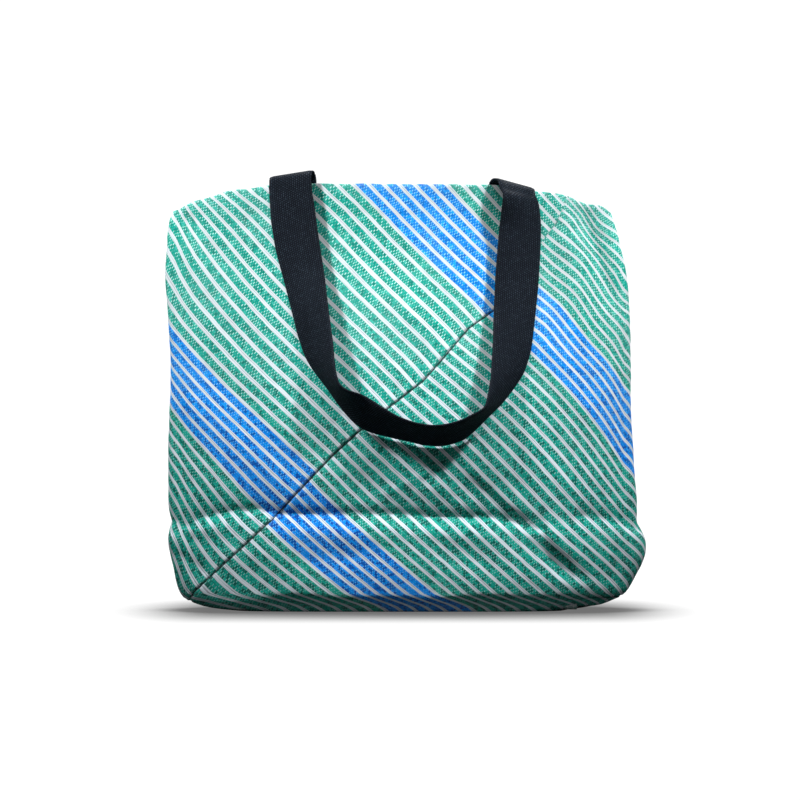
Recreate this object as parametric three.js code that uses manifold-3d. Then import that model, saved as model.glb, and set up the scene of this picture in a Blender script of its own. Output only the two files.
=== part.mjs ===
// Foldable tote bag, modelled standing on its base.
// Millimetres, +Z up, front face towards -Y, +X to the right seen from the front.
// Origin: on the ground plane, inside the footprint, in the middle of the bag's depth.
//
// The shell is sewn from two diagonal strips of cloth (A and B) that wind round the
// bag, so there are no side seams: one diagonal seam crosses the front and its twin
// crosses the back. The strips are divided at a fold line above the boxed base, so
// the upper bag can fold over the base. Two webbing handles are sewn inside the rim.
import * as THREE from 'three';
import { mergeVertices } from 'three/addons/utils/BufferGeometryUtils.js';
import Module from 'manifold-3d';

const wasm = await Module();
wasm.setup();

// ---------------------------------------------------------------- dimensions
const TOP = 364.6;            // highest point of the rim
const FOLD_Z = 79;            // height of the fold line above the boxed base
const GAP = 0.3;              // clearance between neighbouring pieces, each side
const WALL = 1.4;             // thickness of the cloth
const LAYER = 1.2;            // thickness of the turned hem and seam allowances
const RING_FACETS = 44;       // facets round the bag
const FAR = 400;              // reach of the cutting shapes, beyond the bag every way
const ALL = [-FAR, FAR];

// left and right outline seen from the front, [height, x]
const EDGE_LEFT = [
  [0, -146], [1, -157], [2.8, -170], [5.2, -179], [8.6, -187], [12, -192], [19, -196],
  [28, -198.5], [36, -200], [48, -203], [64, -205], [79, -204.6], [100, -205.2],
  [150, -205.2], [216, -204], [256, -205.5], [285, -207.4], [313, -205.6],
  [334, -203.9], [342, -200.8],
];
const EDGE_RIGHT = [
  [0, 136], [1, 148], [2.8, 158], [5.2, 168], [8.6, 177], [12, 184.5], [20, 192.6],
  [32, 199.8], [42, 204.8], [50, 207.4], [57, 207.4], [65, 205.6], [79, 201.6],
  [100, 199], [119, 197.3], [148, 195.4], [201, 194.5], [230, 193.8], [259, 192.6],
  [283, 190.2], [301, 187.6], [324, 182.4], [334, 179.3], [341, 177],
];
// rim height, [x, height]
const RIM = [
  [-201, 342], [-190, 346.8], [-184.9, 349.2], [-164.7, 354.6], [-152, 359],
  [-131.6, 361.2], [-119.5, 363.3], [-77.8, 364.6], [71.8, 363.8], [112.2, 358.8],
  [138, 354.8], [150.6, 349.4], [157.5, 347.4], [166.6, 347], [177, 340.6],
];
// half depth of the bag, [nominal height, half depth]
const DEPTH = [
  [0, 34], [1, 36.5], [2.8, 39], [5.2, 41], [8.6, 42.6], [12, 43.6], [30, 45],
  [50, 44.6], [65, 42.6], [79, 39], [92, 40], [115, 40.5], [150, 39], [200, 34.5],
  [250, 28], [290, 23], [320, 20.6], [340, 20], [364.6, 20],
];
// squareness of the plan section, [nominal height, superellipse exponent]
const SQUARENESS = [[0, 4.4], [30, 4], [79, 3], [150, 2.6], [250, 2.3], [364.6, 2.1]];
// nominal heights of the rings that make up the body
const LEVELS = [
  0, 1, 2.8, 5.2, 8.6, 12, 20, 32, 50, 65, 79, 92, 115, 150, 200, 250, 290, 320, 342, TOP,
];
const LEVEL_BELOW = 150;      // rings up to this height are level; higher ones follow the rim
const FLOOR_ZONE = 12;        // an inset body is raised off the ground below this height
const SIDE_LEFT = -205;       // x where a ring's height is read for the left outline
const SIDE_RIGHT = 195;       // and for the right outline

// diagonal seam on the front, [x, z]; the back seam is the same seen from behind
const FRONT_SEAM = [
  [-206, -30], [-190, 2], [-181.4, 16.3], [-168, 29.2], [-154.7, 41.3], [-137.5, 56.8],
  [-114.3, 78.6], [-95.4, 98.9], [-62.7, 133.3], [-39, 154.8], [-16.3, 172.9],
  [14.7, 196.9], [27.6, 211.6], [53.4, 241.7], [74.9, 257.1], [117.9, 318.2],
  [129.1, 332.8], [137.7, 353.5], [150, 385],
];
const BACK_SEAM = FRONT_SEAM.map(([x, z]) => [-x, z]);
const CUT_BOTTOM = FRONT_SEAM[0][1];
const CUT_TOP = FRONT_SEAM.at(-1)[1];

// ------------------------------------------------------- shape of the surface
function lookUp(table, value) {
  if (value <= table[0][0]) return table[0][1];
  for (let i = 1; i < table.length; i++) {
    const [x0, y0] = table[i - 1];
    const [x1, y1] = table[i];
    if (value <= x1) return y0 + (value - x0) / (x1 - x0) * (y1 - y0);
  }
  return table.at(-1)[1];
}

function smoothStep(value) {
  const t = Math.min(1, Math.max(0, value));
  return t * t * (3 - 2 * t);
}

const rimZ = (x) => lookUp(RIM, x);

// real height at x of the ring of a nominal height
const ringZ = (x, level) =>
  level - (TOP - rimZ(x)) * smoothStep((level - LEVEL_BELOW) / (TOP - LEVEL_BELOW));

// superellipse of the ring of a nominal height
function ringSection(level) {
  const left = lookUp(EDGE_LEFT, ringZ(SIDE_LEFT, level));
  const right = lookUp(EDGE_RIGHT, ringZ(SIDE_RIGHT, level));
  return {
    centre: (left + right) / 2,
    halfWidth: (right - left) / 2,
    halfDepth: lookUp(DEPTH, level),
    exponent: lookUp(SQUARENESS, level),
  };
}

// half depth of the outer face at a point of the front elevation
function faceDepth(x, z) {
  // repeated correction finds the ring that passes through the point
  let level = z;
  for (let i = 0; i < 12; i++) level += z - ringZ(x, level);
  const { centre, halfWidth, halfDepth, exponent } = ringSection(Math.min(level, TOP));
  const across = Math.min(1, Math.abs((x - centre) / halfWidth));
  return halfDepth * Math.pow(Math.max(0, 1 - Math.pow(across, exponent)), 1 / exponent);
}

// ------------------------------------------------------------ solids and meshes
function geometryFrom(points, faces) {
  const geometry = new THREE.BufferGeometry();
  const positions = new Float32Array(points.flat());
  geometry.setAttribute('position', new THREE.BufferAttribute(positions, 3));
  geometry.setIndex(faces.flat());
  return geometry;
}

function toSolid(geometry) {
  const bare = geometry.clone();
  bare.deleteAttribute('normal');
  bare.deleteAttribute('uv');
  const merged = mergeVertices(bare, 1e-4);
  return new wasm.Manifold(new wasm.Mesh({
    numProp: 3,
    vertProperties: new Float32Array(merged.attributes.position.array),
    triVerts: new Uint32Array(merged.index.array),
  }));
}

function toGeometry(solid) {
  const { numVert, numProp, vertProperties, triVerts } = solid.getMesh();
  const positions = new Float32Array(numVert * 3);
  for (let i = 0; i < numVert; i++) {
    for (let k = 0; k < 3; k++) positions[3 * i + k] = vertProperties[i * numProp + k];
  }
  const geometry = new THREE.BufferGeometry();
  geometry.setAttribute('position', new THREE.BufferAttribute(positions, 3));
  geometry.setIndex(new THREE.BufferAttribute(new Uint32Array(triVerts), 1));
  return geometry;
}

// geometry of the largest separate part, which leaves out stray slivers
function largestPart(solid) {
  const parts = solid.decompose();
  parts.sort((a, b) => b.volume() - a.volume());
  return toGeometry(parts[0]);
}

function mirrorY(geometry) {
  const mirrored = geometry.clone();
  mirrored.scale(1, -1, 1);
  // mirroring turns the faces inside out, so their winding is reversed
  const index = mirrored.index.array;
  for (let i = 0; i < index.length; i += 3) {
    [index[i], index[i + 1]] = [index[i + 1], index[i]];
  }
  return mirrored;
}

// prism with an outline in the XZ plane, from yFront to yBack
function prism(outline, [yFront, yBack] = ALL) {
  const shape = new THREE.Shape(outline.map(([x, z]) => new THREE.Vector2(x, z)));
  const geometry = new THREE.ExtrudeGeometry(shape, {
    depth: yBack - yFront,
    bevelEnabled: false,
  });
  geometry.rotateX(Math.PI / 2);
  geometry.translate(0, yBack, 0);
  return toSolid(geometry);
}

function box([x0, x1], [y0, y1], [z0, z1]) {
  const geometry = new THREE.BoxGeometry(x1 - x0, y1 - y0, z1 - z0);
  geometry.translate((x0 + x1) / 2, (y0 + y1) / 2, (z0 + z1) / 2);
  return toSolid(geometry);
}

// ---------------------------------------------------------------- body of the bag
// a flat cap laid as strips between the front and back halves of a ring
function capFaces(start, facesUp) {
  const faces = [];
  const half = RING_FACETS / 2;
  for (let i = 0; i < half; i++) {
    const a = start + i;
    const b = a + 1;
    const c = start + (RING_FACETS - i) % RING_FACETS;
    const d = start + RING_FACETS - i - 1;
    if (i > 0) faces.push([a, b, c]);
    if (i < half - 1) faces.push([b, d, c]);
  }
  return facesUp ? faces : faces.map(([a, b, c]) => [a, c, b]);
}

// closed body set in by `inset`; with `above`, it carries on past the rim
function bagBody(inset, above = 0) {
  const rows = LEVELS.map((level) => ({ level, lift: 0 }));
  if (above) rows.push({ level: TOP, lift: above });

  const points = [];
  for (const { level, lift } of rows) {
    const { centre, halfWidth, halfDepth, exponent } = ringSection(level);
    const bulge = (v) => Math.sign(v) * Math.pow(Math.abs(v), 2 / exponent);
    for (let i = 0; i < RING_FACETS; i++) {
      const angle = (i / RING_FACETS) * 2 * Math.PI;
      const x = centre + (halfWidth - inset) * bulge(Math.cos(angle));
      const y = (halfDepth - inset) * bulge(Math.sin(angle));
      let z = ringZ(x, level);
      if (level < FLOOR_ZONE) z = inset + z * (FLOOR_ZONE - inset) / FLOOR_ZONE;
      points.push([x, y, z + lift]);
    }
  }

  const faces = [];
  for (let row = 0; row < rows.length - 1; row++) {
    for (let i = 0; i < RING_FACETS; i++) {
      const a = row * RING_FACETS + i;
      const b = row * RING_FACETS + (i + 1) % RING_FACETS;
      const c = a + RING_FACETS;
      const d = b + RING_FACETS;
      faces.push([a, b, d], [a, d, c]);
    }
  }
  faces.push(...capFaces(0, false));
  faces.push(...capFaces((rows.length - 1) * RING_FACETS, true));
  return toSolid(geometryFrom(points, faces));
}

// layer of material inside the bag, between two insets from the outer face
const layer = (from, to) => bagBody(from, 30).subtract(bagBody(to, 60));

const shell = bagBody(0).subtract(bagBody(WALL, 30));
const liningLayer = layer(WALL + GAP, WALL + GAP + LAYER);

// ------------------------------------------------------------------- the strips
const SEAM_GAP = GAP * 1.35;  // clearance measured along x, wider as the seam is slanted
const WRAP_HALF_DEPTH = 1;    // half depth of the link between a strip's front and back
const WRAP_STEP_Z = 140;      // the link reaches further in above this height
const WRAP_X_LOW = 186;
const WRAP_X_HIGH = 150;

const shifted = (line, dx) => line.map(([x, z]) => [x + dx, z]);

// region that one strip fills: side 1 is right of the seams, side -1 is left of them
function stripRegion(side) {
  const beside = (seam) => [
    ...shifted(seam, side * SEAM_GAP), [side * FAR, CUT_TOP], [side * FAR, CUT_BOTTOM],
  ];
  const wrap = [
    [WRAP_X_LOW, CUT_BOTTOM], [WRAP_X_LOW, WRAP_STEP_Z], [WRAP_X_HIGH, WRAP_STEP_Z],
    [WRAP_X_HIGH, CUT_TOP], [FAR, CUT_TOP], [FAR, CUT_BOTTOM],
  ].map(([x, z]) => [side * x, z]);
  return prism(beside(FRONT_SEAM), [-FAR, -GAP])
    .add(prism(beside(BACK_SEAM), [GAP, FAR]))
    .add(prism(wrap, [-WRAP_HALF_DEPTH, WRAP_HALF_DEPTH]));
}

const upperZone = box(ALL, ALL, [FOLD_Z + GAP, FAR]);
const lowerZone = box(ALL, ALL, [-FAR, FOLD_Z - GAP]);

// ---------------------------------------------------------------- hem and seams
const HEM = 24;               // depth of the turned hem
const HEM_DROP = 0.4;         // the hem stops this far below the rim
const HEM_SEAM_GAP = 1;       // height between the hem and the seam allowances
const RIM_REACH = 215;        // x to which the rim line is carried on each side
const SEAM_W = 11;            // width of the pressed seam allowances
const SEAM_SLANT = 1.3;       // width along x of a diagonal band over its own width
const SEAM_SPLIT_Y = 2;       // diagonal allowances stop this far from the middle plane
const SEAM_FOOT_Z = 18;       // bottom of the diagonal allowances
const SEAM_FLOOR_Z = -1;      // cuts for the base seams start just below the ground
const BOTTOM_SEAM = { halfLength: 128, top: 8 };
const CORNER_SEAM = { x: 135, halfLength: 60, top: 16 };

// line that follows the rim, `drop` below it, from left to right
const rimLine = (drop) =>
  [-RIM_REACH, ...RIM.map(([x]) => x), RIM_REACH].map((x) => [x, rimZ(x) - drop]);

const hem = liningLayer.intersect(prism([...rimLine(HEM), ...rimLine(HEM_DROP).reverse()]));
const belowHem = prism([
  [-RIM_REACH, CUT_BOTTOM], [RIM_REACH, CUT_BOTTOM],
  ...rimLine(HEM + HEM_SEAM_GAP).reverse(),
]);
const seamLayer = liningLayer.intersect(belowHem);

// seam allowance that lies along a diagonal seam
function diagonalSeam(line, depthRange) {
  const reach = SEAM_W / 2 * SEAM_SLANT;
  const band = [...shifted(line, -reach), ...shifted(line, reach).reverse()];
  return seamLayer.intersect(prism(band, depthRange));
}

// seam along the middle of the base
function bottomSeam() {
  const { halfLength, top } = BOTTOM_SEAM;
  return liningLayer.intersect(
    box([-halfLength, halfLength], [-SEAM_W / 2, SEAM_W / 2], [SEAM_FLOOR_Z, top]));
}

// seam across one end of the base
function cornerSeam(side) {
  const { x, halfLength, top } = CORNER_SEAM;
  const xRange = side > 0 ? [x, x + SEAM_W] : [-x - SEAM_W, -x];
  return liningLayer.intersect(
    box(xRange, [-halfLength, halfLength], [SEAM_FLOOR_Z, top]));
}

// ---------------------------------------------------------------------- handles
const STRAP_W = 38;           // webbing width
const STRAP_T = 2.2;          // webbing thickness
const STRAP_CLEARANCE = 0.9;  // between the webbing and the outer face
const CHORD_STEPS = 8;        // divisions across the webbing where clearance is kept
const PIVOT_Z = 373;          // height at which the handles turn over the rim
const PIVOT_Y = 17.2;         // distance of that line from the middle plane

// stations of the front handle, [outer edge [x, z], inner edge [x, z]], from the left
// of the rim down round the loop to the right of the rim. The outer edge lies by the
// bag; the inner edge stands proud where the edges are closer than the webbing width.
const STRAP = [
  [[-117.4, 371.0], [-81.6, 376.8]], [[-117.7, 363.4], [-79.8, 367.0]],
  [[-116.4, 334.5], [-77.9, 340.0]], [[-113.2, 308.0], [-74.9, 316.0]],
  [[-106.8, 285.0], [-70.4, 292.0]], [[-98.3, 258.0], [-66.8, 264.0]],
  [[-92.0, 234.5], [-63.4, 240.0]], [[-85.6, 214.5], [-61.8, 222.0]],
  [[-79.9, 206.4], [-60.8, 210.0]], [[-67.0, 190.0], [-58.4, 198.0]],
  [[-52.4, 169.4], [-46.5, 188.2]], [[-37.8, 155.7], [-32.6, 182.5]],
  [[-14.5, 148.8], [-12.0, 169.4]], [[1.8, 145.4], [5.2, 162.2]],
  [[25.0, 141.0], [21.6, 158.5]], [[49.1, 145.9], [42.2, 161.7]],
  [[64.6, 159.6], [58.2, 168.6]], [[86.5, 182.3], [67.6, 176.3]],
  [[97.7, 197.8], [71.5, 190.0]], [[107.6, 222.7], [74.0, 223.6]],
  [[113.3, 272.6], [76.2, 266.6]], [[116.2, 330.2], [80.1, 326.8]],
  [[114.5, 347.4], [82.6, 352.6]], [[108.5, 361.6], [80.0, 370.2]],
];

// y of the outer and inner edge of the webbing at one station
function strapDepths([xOuter, zOuter], [xInner, zInner]) {
  const surfaceY = (x, z) => -faceDepth(x, z) - (STRAP_CLEARANCE + STRAP_T / 2);
  const seen = Math.hypot(xInner - xOuter, zInner - zOuter);
  const rise = Math.sqrt(Math.max(0, STRAP_W * STRAP_W - seen * seen));
  let yOuter = surfaceY(xOuter, zOuter);
  let yInner = Math.min(surfaceY(xInner, zInner), yOuter - rise);
  // the chord between the edges stays clear of the bulging cloth
  for (let step = 1; step < CHORD_STEPS; step++) {
    const t = step / CHORD_STEPS;
    const limit = surfaceY(xOuter + t * (xInner - xOuter), zOuter + t * (zInner - zOuter));
    const excess = Math.max(0, yOuter + t * (yInner - yOuter) - limit);
    yOuter -= excess;
    yInner -= excess;
  }
  return [yOuter, yInner];
}

function strapGeometry() {
  const last = STRAP.length - 1;
  const rows = STRAP.map(([outer, inner], k) => {
    const atEnd = k === 0 || k === last;
    const [yOuter, yInner] = atEnd ? [-PIVOT_Y, -PIVOT_Y] : strapDepths(outer, inner);
    return [
      new THREE.Vector3(outer[0], yOuter, outer[1]),
      new THREE.Vector3(inner[0], yInner, inner[1]),
    ];
  });

  // four corners at each station, half a thickness either side of the centre surface
  const points = rows.flatMap(([outer, inner], k) => {
    const before = rows[Math.max(0, k - 1)];
    const after = rows[Math.min(last, k + 1)];
    const along = new THREE.Vector3().addVectors(...after).sub(before[0]).sub(before[1]);
    const across = new THREE.Vector3().subVectors(inner, outer).normalize();
    const offset = new THREE.Vector3().crossVectors(along.normalize(), across)
      .normalize().multiplyScalar(STRAP_T / 2);
    return [
      outer.clone().add(offset), inner.clone().add(offset),
      inner.clone().sub(offset), outer.clone().sub(offset),
    ].map((corner) => corner.toArray());
  });

  const faces = [];
  for (let k = 0; k < last; k++) {
    for (let j = 0; j < 4; j++) {
      const a = 4 * k + j;
      const b = 4 * k + (j + 1) % 4;
      const c = a + 4;
      const d = b + 4;
      faces.push([a, d, b], [a, c, d]);
    }
  }
  const end = 4 * last;
  faces.push([0, 1, 2], [0, 2, 3], [end, end + 2, end + 1], [end, end + 3, end + 2]);
  return geometryFrom(points, faces);
}

// ------------------------------------------------- strap ends sewn inside the rim
// left edge of each front strap end and the heights of its top corners
const STRAP_ENDS = {
  left: { x: -115.6, zLeft: 364.6, zRight: 366.6 },
  right: { x: 70.4, zLeft: 366.0, zRight: 358.0 },
};
const STRAP_END_RIM_Z = 359;  // rim height from which the strap ends are measured
const STRAP_END_DEPTH = 36;   // how far each strap end reaches below it
const STRAP_END_Z = STRAP_END_RIM_Z - STRAP_END_DEPTH;
const STRAP_END_INSET = WALL + LAYER + 3 * GAP;
const STITCH_INSET = STRAP_END_INSET + STRAP_T + GAP;
const STITCH_T = 0.7;         // how far the thread stands off the webbing
const STITCH_W = 1.1;         // width of a line of stitching
const STITCH_SIDE = 4.5;      // margin from the sides of the strap end
const STITCH_BOTTOM = 5;      // margin from its lower end
const STITCH_H = 25;          // height of the stitched frame
const FRONT = [-FAR, 0];

const strapEndLayer = layer(STRAP_END_INSET, STRAP_END_INSET + STRAP_T);
const stitchLayer = layer(STITCH_INSET, STITCH_INSET + STITCH_T);

function strapEnd({ x, zLeft, zRight }) {
  const xRight = x + STRAP_W;
  const outline = [[x, STRAP_END_Z], [xRight, STRAP_END_Z], [xRight, zRight], [x, zLeft]];
  return strapEndLayer.intersect(prism(outline, FRONT));
}

function stitchLine(x0, z0, x1, z1) {
  const length = Math.hypot(x1 - x0, z1 - z0);
  const dx = -(z1 - z0) / length * STITCH_W / 2;
  const dz = (x1 - x0) / length * STITCH_W / 2;
  return prism(
    [[x0 + dx, z0 + dz], [x0 - dx, z0 - dz], [x1 - dx, z1 - dz], [x1 + dx, z1 + dz]], FRONT);
}

// stitching that holds a strap end: a frame with a diagonal cross
function boxStitch({ x }) {
  const left = x + STITCH_SIDE;
  const right = x + STRAP_W - STITCH_SIDE;
  const bottom = STRAP_END_Z + STITCH_BOTTOM;
  const top = bottom + STITCH_H;
  const lines = stitchLine(left - STITCH_W / 2, bottom, right + STITCH_W / 2, bottom)
    .add(stitchLine(left - STITCH_W / 2, top, right + STITCH_W / 2, top))
    .add(stitchLine(left, bottom, left, top))
    .add(stitchLine(right, bottom, right, top))
    .add(stitchLine(left, bottom, right, top))
    .add(stitchLine(left, top, right, bottom));
  return stitchLayer.intersect(lines);
}

// -------------------------------------------------------------------- materials
const fabric = (color, roughness) =>
  new THREE.MeshStandardMaterial({ color, roughness, metalness: 0 });
const MATTE = 0.9;
const green = fabric(0x3fae92, MATTE);
const blue = fabric(0x2c7fd6, MATTE);
const white = fabric(0xdfe1e4, MATTE);
const webbing = fabric(0x181c22, 0.8);
const thread = fabric(0x1c1f24, 0.7);

// --------------------------------------------------------------------- assembly
const bag = new THREE.Group();
const baseSection = new THREE.Group();
const upperBag = new THREE.Group();
bag.add(baseSection, upperBag);

function addMesh(group, name, geometry, material) {
  geometry.computeVertexNormals();
  const mesh = new THREE.Mesh(geometry, material);
  mesh.name = name;
  group.add(mesh);
  return mesh;
}
const addSolid = (group, name, solid, material) =>
  addMesh(group, name, largestPart(solid), material);

for (const [name, side, material] of [['strip_a', 1, green], ['strip_b', -1, blue]]) {
  const strip = shell.intersect(stripRegion(side));
  addSolid(baseSection, `${name}_lower`, strip.intersect(lowerZone), material);
  addSolid(upperBag, `${name}_upper`, strip.intersect(upperZone), material);
}

addSolid(baseSection, 'bottom_seam', bottomSeam(), white);
addSolid(baseSection, 'corner_seam_left', cornerSeam(-1), white);
addSolid(baseSection, 'corner_seam_right', cornerSeam(1), white);

const lowerSeamZone = box(ALL, ALL, [SEAM_FOOT_Z, FOLD_Z - GAP]);
for (const [name, line, depthRange] of [
  ['front_seam', FRONT_SEAM, [-FAR, -SEAM_SPLIT_Y]],
  ['back_seam', BACK_SEAM, [SEAM_SPLIT_Y, FAR]],
]) {
  const seam = diagonalSeam(line, depthRange);
  addSolid(baseSection, `${name}_lower`, seam.intersect(lowerSeamZone), white);
  addSolid(upperBag, `${name}_upper`, seam.intersect(upperZone), white);
}

const frontZone = box(ALL, [-FAR, -GAP * 2], ALL);
const backZone = box(ALL, [GAP * 2, FAR], ALL);
addSolid(upperBag, 'rim_hem_front', hem.intersect(frontZone), green);
addSolid(upperBag, 'rim_hem_back', hem.intersect(backZone), blue);

// the back handle and its ends mirror the front ones
function addHandle(side, pivotY, place) {
  for (const [end, sizes] of Object.entries(STRAP_ENDS)) {
    const endGeometry = place(largestPart(strapEnd(sizes)));
    addMesh(upperBag, `${side}_strap_end_${end}`, endGeometry, webbing);
    const stitchGeometry = place(largestPart(boxStitch(sizes)));
    addMesh(upperBag, `${side}_box_stitch_${end}`, stitchGeometry, thread);
  }
  // each handle hangs in its own group so that it can turn about the rim
  const handle = new THREE.Group();
  handle.position.set(0, pivotY, PIVOT_Z);
  upperBag.add(handle);
  const strap = addMesh(handle, `${side}_handle_strap`, place(strapGeometry()), webbing);
  strap.position.copy(handle.position).negate();
}
addHandle('front', -PIVOT_Y, (geometry) => geometry);
addHandle('back', PIVOT_Y, mirrorY);

export default bag;
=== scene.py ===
# A soft striped cloth bag with two webbing handles, standing on the ground plane z = 0.
# It is wide along x, the front faces -y, and the left end is at -x.
# Two strips of cloth meet on a diagonal seam on each face: seen from the front, strip "a" is the
# lower right and strip "b" the upper left. Lengths are in millimetres until a mesh is made.
import math

import bmesh
import bpy
import numpy as np
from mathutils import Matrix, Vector


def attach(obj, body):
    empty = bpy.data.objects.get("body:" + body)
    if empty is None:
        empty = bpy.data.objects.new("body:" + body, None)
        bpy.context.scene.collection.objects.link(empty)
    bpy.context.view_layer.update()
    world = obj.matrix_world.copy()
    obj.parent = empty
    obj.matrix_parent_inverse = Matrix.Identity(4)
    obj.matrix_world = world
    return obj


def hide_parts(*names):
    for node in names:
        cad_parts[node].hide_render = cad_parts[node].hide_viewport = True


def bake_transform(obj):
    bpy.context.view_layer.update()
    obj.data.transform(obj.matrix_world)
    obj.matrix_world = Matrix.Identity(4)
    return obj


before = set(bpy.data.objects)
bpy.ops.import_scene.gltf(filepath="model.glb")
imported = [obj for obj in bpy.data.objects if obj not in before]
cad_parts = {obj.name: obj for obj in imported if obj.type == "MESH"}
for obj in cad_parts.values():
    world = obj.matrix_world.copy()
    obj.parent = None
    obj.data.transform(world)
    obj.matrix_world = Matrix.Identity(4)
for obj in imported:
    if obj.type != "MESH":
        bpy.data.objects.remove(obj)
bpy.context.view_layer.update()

# ---------------------------------------------------------------- main sizes
TOP = 364.6                   # highest point of the rim
WALL = 1.3                    # cloth thickness
HEM = 24.0                    # depth of the turned rim
STRAP_W, STRAP_T = 38.0, 2.2  # handle webbing
SIDES = ((-1, "front"), (1, "back"))

# The camera looks along +y. VIEW_WIDTH is what it sees across the plane y = VIEW_PLANE.
LENS, SENSOR = 150.0, 36.0
VIEW_PLANE = -10.0
VIEW_WIDTH = 688.0
CAM_DISTANCE = LENS / SENSOR * VIEW_WIDTH
CAM_X, CAM_Z = -5.074, 180.6

# Half outlines of the bag, as (z, x) at the left and right ends
LEFT_END = np.array([
    [0, -146], [1, -157], [2.8, -170], [5.2, -179], [8.6, -187], [12, -192], [19, -196],
    [28, -198.5], [36, -200], [48, -203], [64, -205], [79, -204.6], [100, -205.2], [150, -205.2],
    [216, -204], [256, -205.5], [285, -207.4], [313, -205.6], [334, -203.9], [342, -200.8]], float)
RIGHT_END = np.array([
    [0, 136], [1, 148], [2.8, 158], [5.2, 168], [8.6, 177], [12, 184.5], [20, 192.6],
    [32, 199.8], [42, 204.8], [50, 207.4], [57, 207.4], [65, 205.6], [79, 201.6], [100, 199],
    [119, 197.3], [148, 195.4], [201, 194.5], [230, 193.8], [259, 192.6], [283, 190.2],
    [301, 187.6], [324, 182.4], [334, 179.3], [341, 177]], float)
# Rim height, as (x, z)
RIM = np.array([
    [-201, 342], [-190, 346.8], [-184.9, 349.2], [-164.7, 354.6], [-152, 359], [-131.6, 361.2],
    [-119.5, 363.3], [-77.8, 364.6], [71.8, 363.8], [112.2, 358.8], [138, 354.8],
    [150.6, 349.4], [157.5, 347.4], [166.6, 347], [177, 340.6]], float)
# Half depth along y, as (nominal height, depth)
DEPTH = np.array([
    [0, 34], [1, 36.5], [2.8, 39], [5.2, 41], [8.6, 42.6], [12, 43.6], [30, 45], [50, 44.6],
    [65, 42.6], [79, 39], [92, 40], [115, 40.5], [150, 39], [200, 34.5], [250, 28], [290, 23],
    [320, 20.6], [340, 20], [364.6, 20]], float)
# Superellipse exponent of the plan outline, as (nominal height, exponent)
SQUARENESS = np.array([
    [0, 4.4], [30, 4], [79, 3], [150, 2.6], [250, 2.3], [364.6, 2.1]], float)
# Diagonal seam on the front, as (x, z); on the back x is mirrored
SEAM = np.array([
    [-206, -30], [-190, 2], [-181.4, 16.3], [-168, 29.2], [-154.7, 41.3], [-137.5, 56.8],
    [-114.3, 78.6], [-95.4, 98.9], [-62.7, 133.3], [-39, 154.8], [-16.3, 172.9], [14.7, 196.9],
    [27.6, 211.6], [53.4, 241.7], [74.9, 257.1], [117.9, 318.2], [129.1, 332.8],
    [137.7, 353.5], [150, 385]], float)


# ------------------------------------------------------------------ numerics
def pchip(table, v):
    """Monotone cubic through a table of (key, value): smooth, and never past its own points."""
    x, y = table[:, 0], table[:, 1]
    h = np.diff(x)
    d = np.diff(y) / h
    m = np.zeros_like(y)
    w1, w2 = 2 * h[1:] + h[:-1], h[1:] + 2 * h[:-1]
    same = d[:-1] * d[1:] > 0
    with np.errstate(divide="ignore", invalid="ignore"):
        m[1:-1] = np.where(same, (w1 + w2) / (w1 / d[:-1] + w2 / d[1:]), 0)
    m[0], m[-1] = d[0], d[-1]
    v = np.clip(np.asarray(v, float), x[0], x[-1])
    i = np.clip(np.searchsorted(x, v, side="right") - 1, 0, len(h) - 1)
    t = (v - x[i]) / h[i]
    return (y[i] * (1 + 2 * t) * (1 - t) ** 2 + m[i] * h[i] * t * (1 - t) ** 2
            + y[i + 1] * t * t * (3 - 2 * t) + m[i + 1] * h[i] * t * t * (t - 1))


def smooth(v):
    """Smooth step from 0 to 1."""
    k = np.clip(v, 0, 1)
    return k * k * (3 - 2 * k)


def soften(values, passes):
    """Averages neighbours along the first axis, holding the ends."""
    values = np.array(values, float)
    for _ in range(passes):
        values[1:-1] = (values[:-2] + 2 * values[1:-1] + values[2:]) / 4
    return values


def unit(vectors):
    length = np.linalg.norm(vectors, axis=-1, keepdims=True)
    return vectors / np.maximum(length, 1e-9)


def arc_length(points):
    """Length along a line, at each of its points."""
    return np.concatenate([[0], np.cumsum(np.linalg.norm(np.diff(points, axis=0), axis=1))])


def resample(at, keys, points):
    """Points (n, k) known at `keys`, interpolated at the places `at`."""
    return np.stack([np.interp(at, keys, column) for column in points.T], 1)


class Noise:
    """Smooth repeatable value noise on a lattice."""
    def __init__(self, seed):
        self.lattice = np.random.RandomState(seed).rand(64, 64) * 2 - 1

    def __call__(self, x, y):
        x, y = np.asarray(x, float), np.asarray(y, float)
        xi, yi = np.floor(x).astype(int), np.floor(y).astype(int)
        fx, fy = smooth(x - xi), smooth(y - yi)

        def knot(i, j):
            return self.lattice[(xi + i) % 64, (yi + j) % 64]

        near = knot(0, 0) * (1 - fx) + knot(1, 0) * fx
        return near * (1 - fy) + (knot(0, 1) * (1 - fx) + knot(1, 1) * fx) * fy


N1, N2, N3, N4 = Noise(11), Noise(23), Noise(37), Noise(51)


def to_view(x, y, z):
    """Where a point is seen on the view plane, as (across, up)."""
    k = CAM_DISTANCE / (CAM_DISTANCE + (y - VIEW_PLANE))
    return CAM_X + (x - CAM_X) * k, CAM_Z + (z - CAM_Z) * k


def from_view(across, up, y):
    """x and z of the point at depth y that is seen at (across, up)."""
    k = CAM_DISTANCE / (CAM_DISTANCE + (y - VIEW_PLANE))
    return CAM_X + (across - CAM_X) / k, CAM_Z + (up - CAM_Z) / k


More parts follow.
